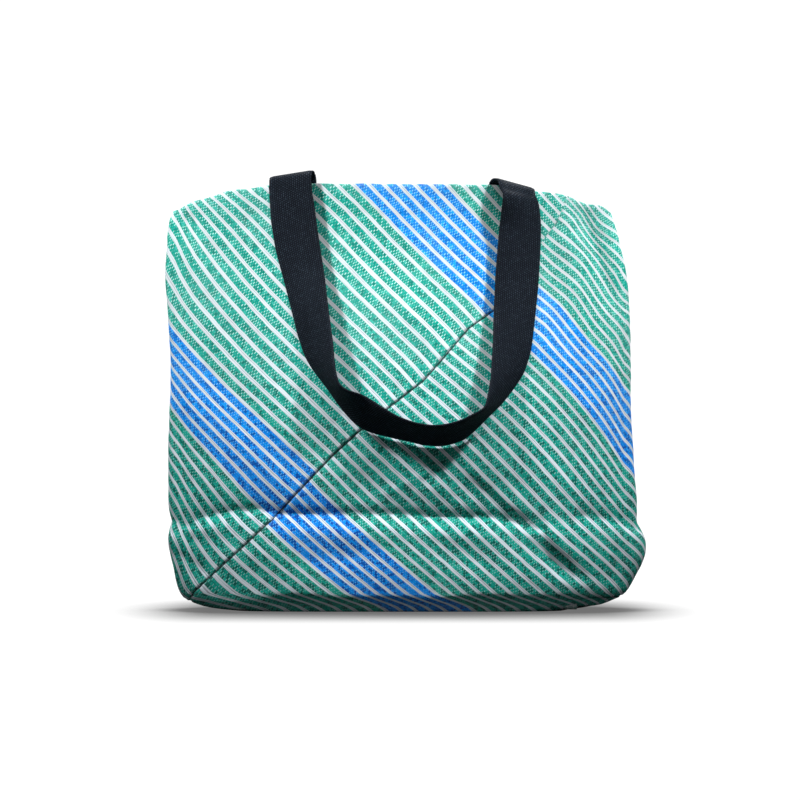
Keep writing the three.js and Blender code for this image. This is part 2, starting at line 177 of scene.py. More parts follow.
def nearest_on_line(x, z, line):
    """Distance to a polyline, whether that is on the right of its run, and how far along, 0 to 1."""
    line = np.asarray(line, float)
    lengths = arc_length(line)
    best = np.full(np.shape(x), 1e9)
    right, along = best < 0, np.zeros(np.shape(x))
    for a, b, start, end in zip(line[:-1], line[1:], lengths[:-1], lengths[1:]):
        run_x, run_z = b - a
        t = ((x - a[0]) * run_x + (z - a[1]) * run_z) / (end - start) ** 2
        t = np.clip(t, 0, 1)
        dx, dz = x - (a[0] + t * run_x), z - (a[1] + t * run_z)
        distance = np.hypot(dx, dz)
        near = distance < best
        best = np.where(near, distance, best)
        right = np.where(near, run_x * dz - run_z * dx < 0, right)
        along = np.where(near, (start + t * (end - start)) / lengths[-1], along)
    return best, right, along


# ------------------------------------------------------------- body outline
def rim_z(x):
    return pchip(RIM, x)


def seam_x(z):
    return np.interp(z, SEAM[:, 1], SEAM[:, 0])


def ring_z(x, h):
    """Real height of the ring of nominal height h: the rings take up the rim's shape above 150."""
    return h - (TOP - rim_z(x)) * smooth((h - 150) / (TOP - 150))


def ring(h):
    """Left end, right end, half depth and squareness of a ring."""
    left = pchip(LEFT_END, ring_z(-205.0, h))
    right = pchip(RIGHT_END, ring_z(195.0, h))
    return left, right, pchip(DEPTH, h), pchip(SQUARENESS, h)


def half_depth(x, z):
    x, z = np.broadcast_arrays(np.asarray(x, float), np.asarray(z, float))
    h = z.copy()
    for _ in range(14):
        h = h + z - ring_z(x, h)
    left, right, depth, power = ring(np.clip(h, 0, TOP))
    u = np.clip(np.abs((x - (left + right) / 2) / ((right - left) / 2)), 0, 1)
    return depth * np.maximum(0, 1 - u ** power) ** (1 / power)


# ------------------------------------------------------------- cloth relief
# Folds are placed by where they are seen on the view plane; those of the back as seen from behind.
# Valleys: (depth, width on the left and right of the run, share of the run that fades at each
# end, line of (across, up)). A negative depth is a ridge.
# Bumps: (across, up, radius, radius, turn in degrees counterclockwise, height).
# tuck: where the turned-under base starts and ends, each with the length over which it fades.
FOLD_LINE = [
    (-211.474, 75.68), (-201.154, 75.68), (-194.274, 71.81), (-185.674, 74.82),
    (-171.914, 79.55), (-159.014, 82.13), (-146.114, 84.28), (-125.474, 85.57),
    (-106.554, 81.7), (-56.674, 80.84), (-5.074, 80.84), (30.186, 79.464), (74.906, 78.69),
    (101.566, 74.82), (122.206, 67.08)]
FACES = {
    "front": dict(
        tuck=((-155.574, 60.2), (169.506, 29.24)),
        valleys=[
            # the fold above the boxed base: soft above, sharp below
            (2.3, (12.04, 3.87), 0.02, FOLD_LINE),
            (2.2, (5.16, 2.924), 0.02, FOLD_LINE),
            (3.0, (8.6, 3.44), 0.12, [(142.846, 81.7), (158.326, 79.12), (172.946, 77.83),
             (184.126, 75.68), (194.446, 72.24), (208.206, 67.08)]),
            # tuck at the lower right, and the crease under it
            (-1.9, (15.48, 1.892), 0.25, [(37.926, 132.44), (51.686, 122.12), (63.726, 111.8),
             (77.486, 99.76), (91.246, 89.01), (105.006, 79.12), (116.186, 69.66),
             (126.506, 58.05), (137.686, 45.58), (147.146, 34.4), (158.326, 25.8)]),
            (1.7, (5.16, 1.892), 0.3, [(113.606, 37.84), (129.086, 31.82), (144.566, 28.38),
             (160.046, 26.66)]),
            # ridge and creases under the handle loop
            (-1.7, (7.74, 5.16), 0.25, [(32.766, 127.28), (20.726, 120.4), (3.526, 110.94),
             (-15.394, 101.48), (-29.154, 95.46)]),
            (3.0, (2.752, 2.064), 0.25, [(14.706, 130.72), (20.726, 126.42), (26.746, 123.41),
             (31.906, 125.99), (39.646, 132.44)]),
            (1.4, (6.02, 4.3), 0.3, [(39.646, 120.4), (48.246, 106.64), (55.126, 92.02)]),
            # soft fold running down from the rim at the upper right
            (3.4, (6.88, 9.46), 0.25, [(149.726, 356.04), (153.166, 344), (158.326, 326.8),
             (165.206, 307.88), (175.526, 278.64), (182.406, 247.68)]),
            # pulls at the lower left corner
            (1.8, (3.44, 3.44), 0.3, [(-209.754, 68.8), (-201.154, 67.94), (-190.834, 63.64),
             (-177.074, 59.34)]),
            (2.0, (5.16, 3.44), 0.3, [(-208.034, 49.88), (-195.994, 46.44), (-180.514, 37.84),
             (-165.034, 25.8)]),
            # shallow pull beside the left leg of the handle
            (1.2, (6.88, 6.88), 0.4, [(-46.354, 182.32), (-58.394, 163.4), (-73.874, 146.2)]),
        ],
        bumps=[
            # bulge of the base band just under the fold
            (-91.074, 67.94, 103.2, 8.6, -1, 1.2), (42.226, 66.22, 68.8, 8.6, -3, 1.2),
            (-164.174, 71.38, 29.24, 6.88, 12, 2.2), (177.246, 65.36, 25.8, 7.74, -10, 1.2),
            # hollows and swells round the tuck and along the base band
            (130.806, 41.28, 22.36, 8.17, -40, -4.6), (101.566, 55.9, 25.8, 10.32, -30, -2.0),
            (156.606, 20.64, 34.4, 5.16, -8, 1.4), (55.126, 46.44, 29.24, 11.18, -8, -1.8),
            (-52.374, 46.44, 39.56, 10.32, 4, -1.8), (7.826, 43, 22.36, 13.76, 0, 1.0),
            (-129.774, 46.44, 34.4, 12.04, 8, 0.9),
            # hollows either side of the ridge under the handle loop
            (-34.314, 110.08, 27.52, 15.48, 30, -1.5), (69.746, 102.34, 20.64, 12.04, -42, -1.6),
            (-56.674, 135.88, 18.92, 12.04, 40, -0.7), (25.886, 106.64, 25.8, 10.32, 10, 1.8),
            # swells beside the soft fold at the upper right
            (137.686, 321.64, 10.32, 34.4, 12, 1.8), (177.246, 325.08, 7.74, 22.36, 16, 1.3),
            (129.086, 266.6, 12.04, 34.4, 10, -1.2),
            # corner and edge pulls
            (-185.674, 334.54, 12.04, 7.74, -30, -2.2), (-165.034, 321.64, 13.76, 6.02, -40, 1.2),
            (-195.134, 137.6, 10.32, 55.04, 0, -3.6), (-177.074, 163.4, 12.04, 60.2, 6, 1.0),
            (-180.514, 18.92, 13.76, 7.74, -30, 1.4), (182.406, 146.2, 10.32, 60.2, -4, -2.4),
            (185.846, 43, 8.6, 17.2, -20, -1.4),
            # long shallow pulls on the slant of the cloth
            (-134.074, 197.8, 60.2, 15.48, -45, 1.0), (-151.274, 266.6, 51.6, 13.76, -48, 0.9),
            (145.426, 180.6, 51.6, 10.32, -50, 1.0), (12.126, 240.8, 60.2, 12.04, -45, 1.0),
            (-99.674, 120.4, 51.6, 12.04, -40, -1.2), (-134.074, 137.6, 51.6, 8.6, -42, 1.0),
            (132.526, 120.4, 51.6, 7.74, -50, 0.9), (115.326, 146.2, 51.6, 7.74, -50, -0.8),
        ]),
    "back": dict(
        tuck=((-177.074, 51.6), (132.526, 51.6)),
        valleys=[
            (3.6, (9.46, 6.88), 0.02, [(-220.074, 77.4), (-142.674, 79.98), (-65.274, 76.54),
             (20.726, 80.84), (98.126, 78.26), (166.926, 74.82), (218.526, 77.4)]),
            (2.2, (7.74, 7.74), 0.3, [(-152.994, 352.6), (-149.554, 326.8), (-140.094, 299.28),
             (-123.754, 266.6)]),
            (1.6, (6.88, 6.88), 0.3, [(132.526, 349.16), (129.086, 318.2), (137.686, 283.8)]),
        ],
        bumps=[
            (-125.474, 64.5, 68.8, 8.6, -2, 1.6), (98.126, 60.2, 77.4, 9.46, 2, 1.6),
            (-134.074, 43, 34.4, 9.46, 18, -3.4), (55.126, 46.44, 43, 10.32, -6, -2.4),
            (-65.274, 120.4, 43, 13.76, -36, -2.6), (55.126, 111.8, 37.84, 12.04, 34, -2.4),
            (-11.954, 127.28, 43, 6.88, -40, 1.8), (12.126, 266.6, 77.4, 17.2, -44, 1.0),
            (115.326, 197.8, 60.2, 13.76, -48, 0.9),
        ]),
}
FOLD_GAIN = 1.45


def valley(across, up, depth, widths, fade, line):
    """A crease: deepest on the line, rising away from it, fading out at its ends."""
    distance, right, along = nearest_on_line(across, up, line)
    ends = smooth(along / fade) * smooth((1 - along) / fade)
    return -depth * ends * np.exp(-distance / np.where(right, widths[1], widths[0]))


def bump(across, up, centre_across, centre_up, radius_1, radius_2, angle, height):
    a = math.radians(angle)
    dx, dz = across - centre_across, up - centre_up
    u = (dx * math.cos(a) + dz * math.sin(a)) / radius_1
    v = (-dx * math.sin(a) + dz * math.cos(a)) / radius_2
    return height * np.exp(-(u * u + v * v))


def relief(face, across, up):
    """Outward displacement of one face from its folds and hollows."""
    return (sum(valley(across, up, *entry) for entry in FACES[face]["valleys"])
            + sum(bump(across, up, *entry) for entry in FACES[face]["bumps"]))


def turn_under(face, across, z):
    """The base cloth folds in about 15 mm up, and runs straight from there to the ground."""
    now = pchip(DEPTH, np.clip(z, 0, 40))
    (start, start_fade), (end, end_fade) = FACES[face]["tuck"]
    k = smooth((across - start) / start_fade) * smooth((end - across) / end_fade)
    wave = 1.1 * np.sin(across / 31.82 + 4.687085) + 0.8 * np.sin(across / 12.9 + 2.92726)
    edge = 15.5 + wave
    straight = 34 + (45.0 - 34) * np.clip(z, 0, 60) / edge
    return (np.minimum(straight, now + 0.4 * np.exp(-np.abs(z - edge) / 5)) - now) * k


def face_weight(y, z):
    """1 on the front and back faces, falling to 0 round the side ends."""
    return smooth(np.abs(y) / (half_depth(0.0, z) * 0.45 + 1))


def fold_offset(x, y, z):
    """Outward displacement from folds and the turned-under base, at points of the plain body."""
    across, up = to_view(x, y, z)
    front = y < 0
    fold = np.where(front, relief("front", across, up), relief("back", -across, up))
    under = np.where(front, turn_under("front", across, z), turn_under("back", -across, z))
    fold = FOLD_GAIN * fold * smooth((z - 3) / 14)
    return (fold + under * (z > 0.01)) * face_weight(y, z)


def outer_y(x, z, side):
    """y of the outer cloth face (front -1, back +1), with its folds."""
    x, z = np.asarray(x, float), np.asarray(z, float)
    y = side * half_depth(x, z)
    return y + side * fold_offset(x, y, z)


def undulation(u, v):
    """Fine unevenness of the standing cloth."""
    return (0.8 * N1(u / 58 + 3.1, v / 47 + 1.7)
            + 0.5 * N2((u + v) / 30 + 9.3, (v - u) / 52 + 2.2)
            + 0.24 * N3((u + v) / 13 + 4.4, (v - u) / 26 + 7.9)
            + 0.09 * N4(u / 6.3, v / 6.9))


# ---------------------------------------------------- grids of the two strips
RING_POINTS = 1440
HALF_RING = RING_POINTS // 2
LOW_ROWS = [0, 0.5, 1.3, 2.4, 3.8, 5.4, 7.2, 9.2, 11.4, 13.8]
ROW_STEP = 2.4
ROW_HEIGHTS = np.concatenate(
    [LOW_ROWS, np.linspace(16, TOP, int(round((TOP - 16) / ROW_STEP)) + 1)])
# Rows across the flat base, as a share of the way from its middle line to its edge
BASE_ROWS = np.array([0.012, 0.03, 0.06, 0.12, 0.22, 0.35, 0.48, 0.62, 0.76, 0.88, 0.96])
N_BASE = len(BASE_ROWS)
COLUMNS = 216
SEAM_COLUMNS = np.array([0, 0.35, 0.8, 1.4, 2.2, 3.2, 4.6])  # distances of the columns by a seam
SIDE_TURN = 24                # the unrolled cloth leaves x this far before a side end


def section(h):
    """Outline of the ring at nominal height h, from the left end over the front and round."""
    left, right, depth, power = ring(h)
    a = np.pi + np.linspace(0, 2 * np.pi, RING_POINTS + 1)
    cos, sin = np.cos(a), np.sin(a)
    x = (left + right) / 2 + (right - left) / 2 * np.sign(cos) * np.abs(cos) ** (2 / power)
    y = depth * np.sign(sin) * np.abs(sin) ** (2 / power)
    return x, y, ring_z(x, h)


def seam_crossing(offset, arc, h):
    """Arc length where the offset from the seam last turns positive; the side end low down."""
    hit = np.where((offset[:-1] < 0) & (offset[1:] >= 0))[0]
    if len(hit) == 0 or h <= 7:
        return arc[0]
    i = hit[-1]
    t = -offset[i] / (offset[i + 1] - offset[i])
    return arc[i] + t * (arc[i + 1] - arc[i])


def strip_grid(which):
    """Rows from the middle of the base up to the rim, columns from one diagonal seam to the other.

    Gives points, unrolled x and z, and distance from the nearer seam."""
    points, wrap_x, wrap_z, from_seam = [], [], [], []
    heights = np.concatenate([np.zeros(N_BASE), ROW_HEIGHTS])
    spreads = np.concatenate([BASE_ROWS, np.ones(len(ROW_HEIGHTS))])
    for h, spread in zip(heights, spreads):
        x, y, z = section(h)
        arc = arc_length(np.stack([x, y, z], 1))
        total = arc[-1]
        front, back = slice(0, HALF_RING + 1), slice(HALF_RING, None)
        front_seam = seam_crossing(x[front] - seam_x(z[front]), arc[front], h)
        back_seam = seam_crossing(-x[back] - seam_x(z[back]), arc[back], h)
        gap = 0.30 + 0.22 * float(N3(h / 9.0, 0.4)) + 0.14 * float(N4(h / 2.7, 1.3))
        gap = max(0.12, gap) * (1 - 0.75 * float(smooth((h - 235) / 40)))
        if which == "a":
            start, end = front_seam + gap, back_seam - gap
            turn, lap = x[HALF_RING] - SIDE_TURN, 0.0
        else:
            start, end = back_seam + gap, total + front_seam - gap
            turn, lap = x[0] + SIDE_TURN, total
        middle = np.linspace(start + SEAM_COLUMNS[-1], end - SEAM_COLUMNS[-1],
                             COLUMNS - 2 * len(SEAM_COLUMNS) + 2)
        at = np.concatenate([start + SEAM_COLUMNS[:-1], middle, (end - SEAM_COLUMNS[:-1])[::-1]])
        px, py, pz = resample(np.mod(at, total), arc, np.stack([x, y, z], 1)).T
        turn_at = lap + np.interp(turn, x[front], arc[front])
        past = at > turn_at if which == "a" else at < turn_at
        wrap_x.append(np.where(past, turn + (at - turn_at), px))
        # the base cloth is stretched low down and runs on under the bag
        wrap_z.append(np.where(pz < 15.5, 15.5 - (15.5 - pz) * 2.3, pz)
                      - np.abs(np.interp(np.mod(at, total), arc, y)) * (1 - spread))
        points.append(np.stack([px, py * spread, pz], 1))
        from_seam.append(np.minimum(at - start, end - at))
    return np.array(points), np.array(wrap_x), np.array(wrap_z), np.array(from_seam)


def outward_normals(points):
    normal = unit(np.cross(np.gradient(points, axis=1), np.gradient(points, axis=0)))
    mid = points.shape[0] // 2
    if (normal[mid] * (points[mid] * [1, 1, 0])).sum() < 0:
        normal = -normal
    return normal


def displaced(which, grid, wrap_x, wrap_z, from_seam):
    """The outer surface of a strip, and the same without the groove at its seams."""
    normal = outward_normals(grid)
    x, y, z = np.moveaxis(grid, 2, 0)
    front = y < 0
    hang = rim_z(x) - z
    d = fold_offset(x, y, z)
    d += undulation(wrap_x, wrap_z) * smooth((z - 1) / 22) * smooth(hang / 10 + 0.25)
    # creases round the side at the fold line and higher up
    side = 1 - face_weight(y, z)
    d += -3.2 * side * np.exp(-np.abs(z - 77) / 7) * smooth((z - 20) / 30)
    d += -1.3 * side * np.exp(-np.abs(z - 190 - 8 * N1(y / 9, 0.3)) / 16)
    # the rim is not quite straight
    rise = 0.55 * N2(wrap_x / 17 + 5, 0.5) + 0.3 * N4(wrap_x / 6.0, 2.5)
    points = grid + np.array([0, 0, 1.0]) * (rise * smooth((12 - hang) / 12))[..., None]
    # the turned layer of the hem shows as a faint step
    d += 0.35 * smooth((HEM + 2 - hang) / 3.5) - 0.3 * np.exp(-((hang - HEM - 0.5) / 1.6) ** 2)
    # on the front strip b lies a little over strip a, on the back a over b
    over = front == (which == "b")
    d += np.where(over, 0.55, -0.35) * np.exp(-from_seam / 5.0) * smooth((z - 6) / 12)
    plain = points + normal * d[..., None]
    # groove along the seam, shallower near the rim, and puckers beside it
    d -= (1.9 - 1.5 * smooth((z - 235) / 40)) * np.exp(-(from_seam / 1.25) ** 1.5)
    along = (x + z) / 1.414
    d += 0.22 * np.exp(-from_seam / 6.0) * np.sin(along / 4.1 + 2.0 * N2(along / 23, 0.7))
    points = points + normal * d[..., None]
    points[..., 2] = np.maximum(points[..., 2], 0)
    return points, plain


# ----------------------------------------------------- stripes of the cloth
# slope: stripes per mm of x and of z; first: stripe number at x = z = 0; along: distance along
# the stripe there; repeat: stripes in one colour repeat; box: (left, right, bottom, top) of the
# warped part; far: where the warp outside it is read.
# warp: polynomial coefficients, row i for powers of x, place j in the row for powers of z.
STRIPES = {
    "a": dict(
        slope=(0.06650116, 0.07385698), first=3.5101569, along=610.4385, repeat=28,
        box=(-195.994, 189.286, 12.04, 357.76), far=(191.006, 180.6),
        warp=[(-0.1593, 0.4082, -0.5924, 0.0821, -2.7736, 1.7646),
              (0.7617, -3.7266, 15.7753, -13.2488, 3.4731),
              (-4.5111, 13.3603, -18.8884, 11.6078),
              (5.8477, -13.2362, 1.7979),
              (-0.298, 1.0387),
              (2.0482,)]),
    "b": dict(
        slope=(0.07149070, 0.06903837), first=2.6963138, along=619.8523, repeat=25,
        box=(-199.434, 137.686, 18.92, 357.76), far=(-201.154, 180.6),
        warp=[(-0.0671, 1.4991, 3.5731, -0.2289, -7.128, -4.7746),
              (0.7312, 13.3097, 21.2945, -2.615, -11.1869),
              (7.1133, 31.946, 36.3596, 7.3738),
              (12.8942, 35.6796, 22.3445),
              (9.9679, 11.7252),
              (3.8907,)]),
}
WARP_SCALE = (206.4, 189.2)   # x to the right and z downward from the view centre are divided by these
WARP_FADE = 146.2             # distance outside the box over which the warp fades

# Local drift of the woven lines, in hundredths of a stripe. Rows are knots in x, columns knots
# going down, from the point START.
DRIFT_START, DRIFT_PITCH = (-211.474, 369.8), (36.12, 34.4)
DRIFT = {
    "a": np.array([
        [-11, -10, -10, -10, -11, -12, -15, -13, -7, 6, 41, 81],
        [-9, -9, -8, -9, -9, -11, -11, -11, -8, 0, 17, 39],
        [-7, -7, -7, -6, -7, -6, -7, -9, -8, -5, -6, -2],
        [-3, -4, -5, -5, -5, -3, -2, -5, -10, -5, -12, -21],
        [1, -1, -1, -3, -3, -2, 1, 3, -5, -2, -8, -30],
        [6, 6, 5, 4, 2, -1, -7, 0, 17, 4, -8, -40],
        [14, 14, 14, 12, 7, 1, -10, -27, -2, 10, -10, -53],
        [24, 26, 28, 26, 16, -7, -6, -18, -20, 4, -8, -54],
        [35, 41, 45, 47, 34, 1, -4, 7, -1, -3, -4, -30],
        [53, 61, 69, 73, 66, 25, -18, -17, 10, 1, -11, -9],
        [71, 94, 111, 116, 93, 49, -1, -28, 1, 0, -12, 5],
        [95, 147, 191, 181, 92, 35, 26, 13, 10, -2, -10, 13],
    ]) / 100,
    "b": np.array([
        [26, 2, 7, 45, 28, -49, 2, 4, 22, 25, 12, 10],
        [14, -2, -12, -4, 23, 18, -1, -1, 17, 22, 15, 10],
        [4, 19, 13, -19, 1, 45, 16, -15, -4, 11, 12, 11],
        [-12, 24, 36, 3, -19, 7, 38, 8, -17, -6, 4, 8],
        [-22, 1, 27, 15, -10, -16, 17, 28, 5, -5, -2, 3],
        [4, -12, -7, 13, 11, -9, 0, 15, 11, 3, -2, -2],
        [30, 12, -27, -12, 21, 12, 3, 7, 9, 5, 1, -4],
        [-8, 15, 9, -21, -3, 10, 9, 6, 7, 6, 1, -2],
        [-43, 0, 27, 6, -3, 3, 6, 7, 6, 5, 2, -1],
        [-49, -11, 16, 15, 7, 5, 6, 7, 6, 3, 2, 0],
        [-47, -20, 2, 12, 12, 10, 9, 7, 6, 4, 2, 0],
        [-42, -25, -9, 5, 14, 15, 12, 9, 7, 4, 2, 0],
    ]) / 100,
}
# The same on closer knots, where the soft fold at the upper right bends strip a. Zeros surround it.
FINE_START, FINE_PITCH = (98.126, 381.84), (11.18, 11.18)
FINE_DRIFT = np.pad(np.array([
    [45, 29, 10, -6, -1, 23, 31, 21, 26, 22, 6, -23, -35, -28, -2, 4],
    [106, 83, 47, -3, -25, 16, 31, 19, 23, 10, 3, 6, 1, -8, 4, 7],
    [160, 147, 119, 43, -55, -32, -17, -14, -4, -16, -28, -2, 20, 20, 14, 7],
    [194, 193, 193, 177, 103, 58, -6, -38, -31, -18, -17, -3, 17, 28, 26, 12],
    [212, 209, 209, 218, 230, 190, 97, 19, 0, 10, 16, 21, 27, 37, 31, 13],
    [215, 205, 193, 176, 154, 118, 74, 39, -9, -10, 6, 3, -1, -2, 0, 7],
    [205, 183, 159, 127, 88, 43, -1, -12, -31, -12, -2, -48, -64, -39, 7, 21],
    [180, 150, 119, 83, 42, 1, -28, -33, -22, 2, -5, -49, -63, -32, 17, 24],
    [142, 112, 80, 48, 14, -14, -31, -31, -18, -6, -13, -31, -36, -18, 5, 10],
    [98, 73, 48, 23, 0, -16, -24, -22, -16, -12, -13, -17, -15, -10, -2, 1],
    [55, 40, 23, 9, -3, -11, -15, -13, -11, -10, -9, -7, -5, -4, -3, -1],
    [20, 14, 8, 3, -2, -5, -5, -5, -5, -4, -4, -2, -1, -2, -1, -1],
]) / 100, ((2, 2), (0, 2)))


def spline_weights(v, count):
    """Cubic B-spline weights of `count` knots at places v."""
    v = np.clip(v, 0, count - 1)
    out = []
    for j in range(count):
        d = np.abs(v - j)
        tail = np.where(d < 2, (2 - d) ** 3 / 6, 0)
        out.append(np.where(d < 1, 2 / 3 - d * d + d ** 3 / 2, tail))
    out = np.array(out)
    return out / out.sum(0)


def knot_surface(table, start, pitch, x, z):
    across = spline_weights((x - start[0]) / pitch[0], table.shape[0])
    down = spline_weights((start[1] - z) / pitch[1], table.shape[1])
    return np.einsum("i...,j...,ij->...", across, down, table)


def warp(which, x, z):
    u, v = (x - CAM_X) / WARP_SCALE[0], (CAM_Z - z) / WARP_SCALE[1]
    return sum(k * u ** i * v ** j
               for i, row in enumerate(STRIPES[which]["warp"]) for j, k in enumerate(row))


def stripe_coords(which, x, z):
    """Stripe number and distance along the stripe, at an unrolled place on the strip."""
    stripes = STRIPES[which]
    slope_x, slope_z = stripes["slope"]
    left, right, bottom, top = stripes["box"]
    near_x, near_z = np.clip(x, left, right), np.clip(z, bottom, top)
    k = 1 - smooth((np.abs(x - near_x) + 0.5 * np.abs(z - near_z)) / WARP_FADE)
    number = slope_x * x + slope_z * z + stripes["first"]
    number = number + k * warp(which, near_x, near_z) + (1 - k) * warp(which, *stripes["far"])
    number = number + knot_surface(DRIFT[which], DRIFT_START, DRIFT_PITCH, x, z)
    if which == "a":
        number = number + knot_surface(FINE_DRIFT, FINE_START, FINE_PITCH, x, z)
    along = (slope_z * x - slope_x * z) / math.hypot(slope_x, slope_z) + stripes["along"]
    return number, along


# ---------------------------------------------------------- shader helpers
def binary(operation, swapped=False):
    def apply(self, other):
        pair = (other, self) if swapped else (self, other)
        return self.graph.math(operation, *pair)
    return apply


def unary(operation):
    return lambda self: self.graph.math(operation, self)


class Signal:
    """A node output. Arithmetic on it adds Math nodes."""
    def __init__(self, graph, socket):
        self.graph, self.socket = graph, socket

    __add__, __radd__ = binary("ADD"), binary("ADD", swapped=True)
    __sub__, __rsub__ = binary("SUBTRACT"), binary("SUBTRACT", swapped=True)
    __mul__, __rmul__ = binary("MULTIPLY"), binary("MULTIPLY", swapped=True)
    __truediv__, __mod__ = binary("DIVIDE"), binary("MODULO")
    less_than, maximum = binary("LESS_THAN"), binary("MAXIMUM")
    __abs__, floor, fract = unary("ABSOLUTE"), unary("FLOOR"), unary("FRACT")
    round, sine, exp = unary("ROUND"), unary("SINE"), unary("EXPONENT")


class Graph:
    """Adds nodes to a node tree."""
    def __init__(self, tree):
        self.tree = tree

    def feed(self, node, inputs):
        """Links or sets inputs, given as {name or index: Signal or value}."""
        for key, value in inputs.items():
            if isinstance(value, Signal):
                self.tree.links.new(value.socket, node.inputs[key])
            else:
                node.inputs[key].default_value = value

    def add(self, kind, inputs=None, output=0, **settings):
        node = self.tree.nodes.new("ShaderNode" + kind)
        for key, value in settings.items():
            setattr(node, key, value)
        self.feed(node, inputs or {})
        return Signal(self, node.outputs[output])

    def math(self, operation, *values):
        return self.add("Math", dict(enumerate(values)), operation=operation)

    def ramp(self, value, over, to=(0.0, 1.0)):
        """Smooth step between the values of `to` as `value` crosses the range `over`."""
        inputs = {"Value": value, "From Min": over[0], "From Max": over[1],
                  "To Min": to[0], "To Max": to[1]}
        return self.add("MapRange", inputs, "Result", interpolation_type="SMOOTHSTEP")

    def mix(self, factor, a, b):
        """Colour a where the factor is 0, b where it is 1."""
        a, b = [(*v, 1.0) if isinstance(v, tuple) else v for v in (a, b)]
        return self.add("Mix", {0: factor, 6: a, 7: b}, 2, data_type="RGBA", clamp_factor=True)

    def noise(self, vector, scale, detail, rough=0.5):
        inputs = {"Vector": vector, "Scale": scale, "Detail": detail, "Roughness": rough}
        return self.add("TexNoise", inputs, "Fac")

    def vector(self, x, y, z=0.0):
        return self.add("CombineXYZ", {0: x, 1: y, 2: z})

    def streaks(self, across, along, freq, detail=1.0, layer=0.0):
        """Noise with its own frequency across and along the yarns."""
        place = self.vector(across * freq[0], along * freq[1], layer)
        return self.noise(place, scale=1.0, detail=detail)

    def cell_noise(self, *place, dimensions="3D"):
        return self.add("TexWhiteNoise", {"Vector": self.vector(*place)}, "Value",
                        noise_dimensions=dimensions)

    def split(self, vector):
        x = self.add("SeparateXYZ", {0: vector})
        return [Signal(self, socket) for socket in x.socket.node.outputs]

    def weave(self):
        """The two directions of the Weave UV map."""
        return self.split(self.add("UVMap", uv_map="Weave"))[:2]

    def attribute(self, name):
        return self.add("Attribute", output="Fac", attribute_name=name)

    def position(self):
        return self.add("NewGeometry", output="Position")


def new_material(name):
    material = bpy.data.materials.new(name)
    material.use_nodes = True
    return material, Graph(material.node_tree), material.node_tree.nodes["Principled BSDF"]


def finish_surface(graph, bsdf, color, roughness, height, strength, distance, specular=0.5):
    """Feeds the surface shader; height, strength and distance (metres) are those of the bump."""
    relief_inputs = {"Strength": strength, "Distance": distance, "Height": height}
    graph.feed(bsdf, {"Base Color": color, "Roughness": roughness,
                      "Specular IOR Level": specular,
                      "Normal": graph.add("Bump", relief_inputs)})


FULL_TURN = 2 * math.pi


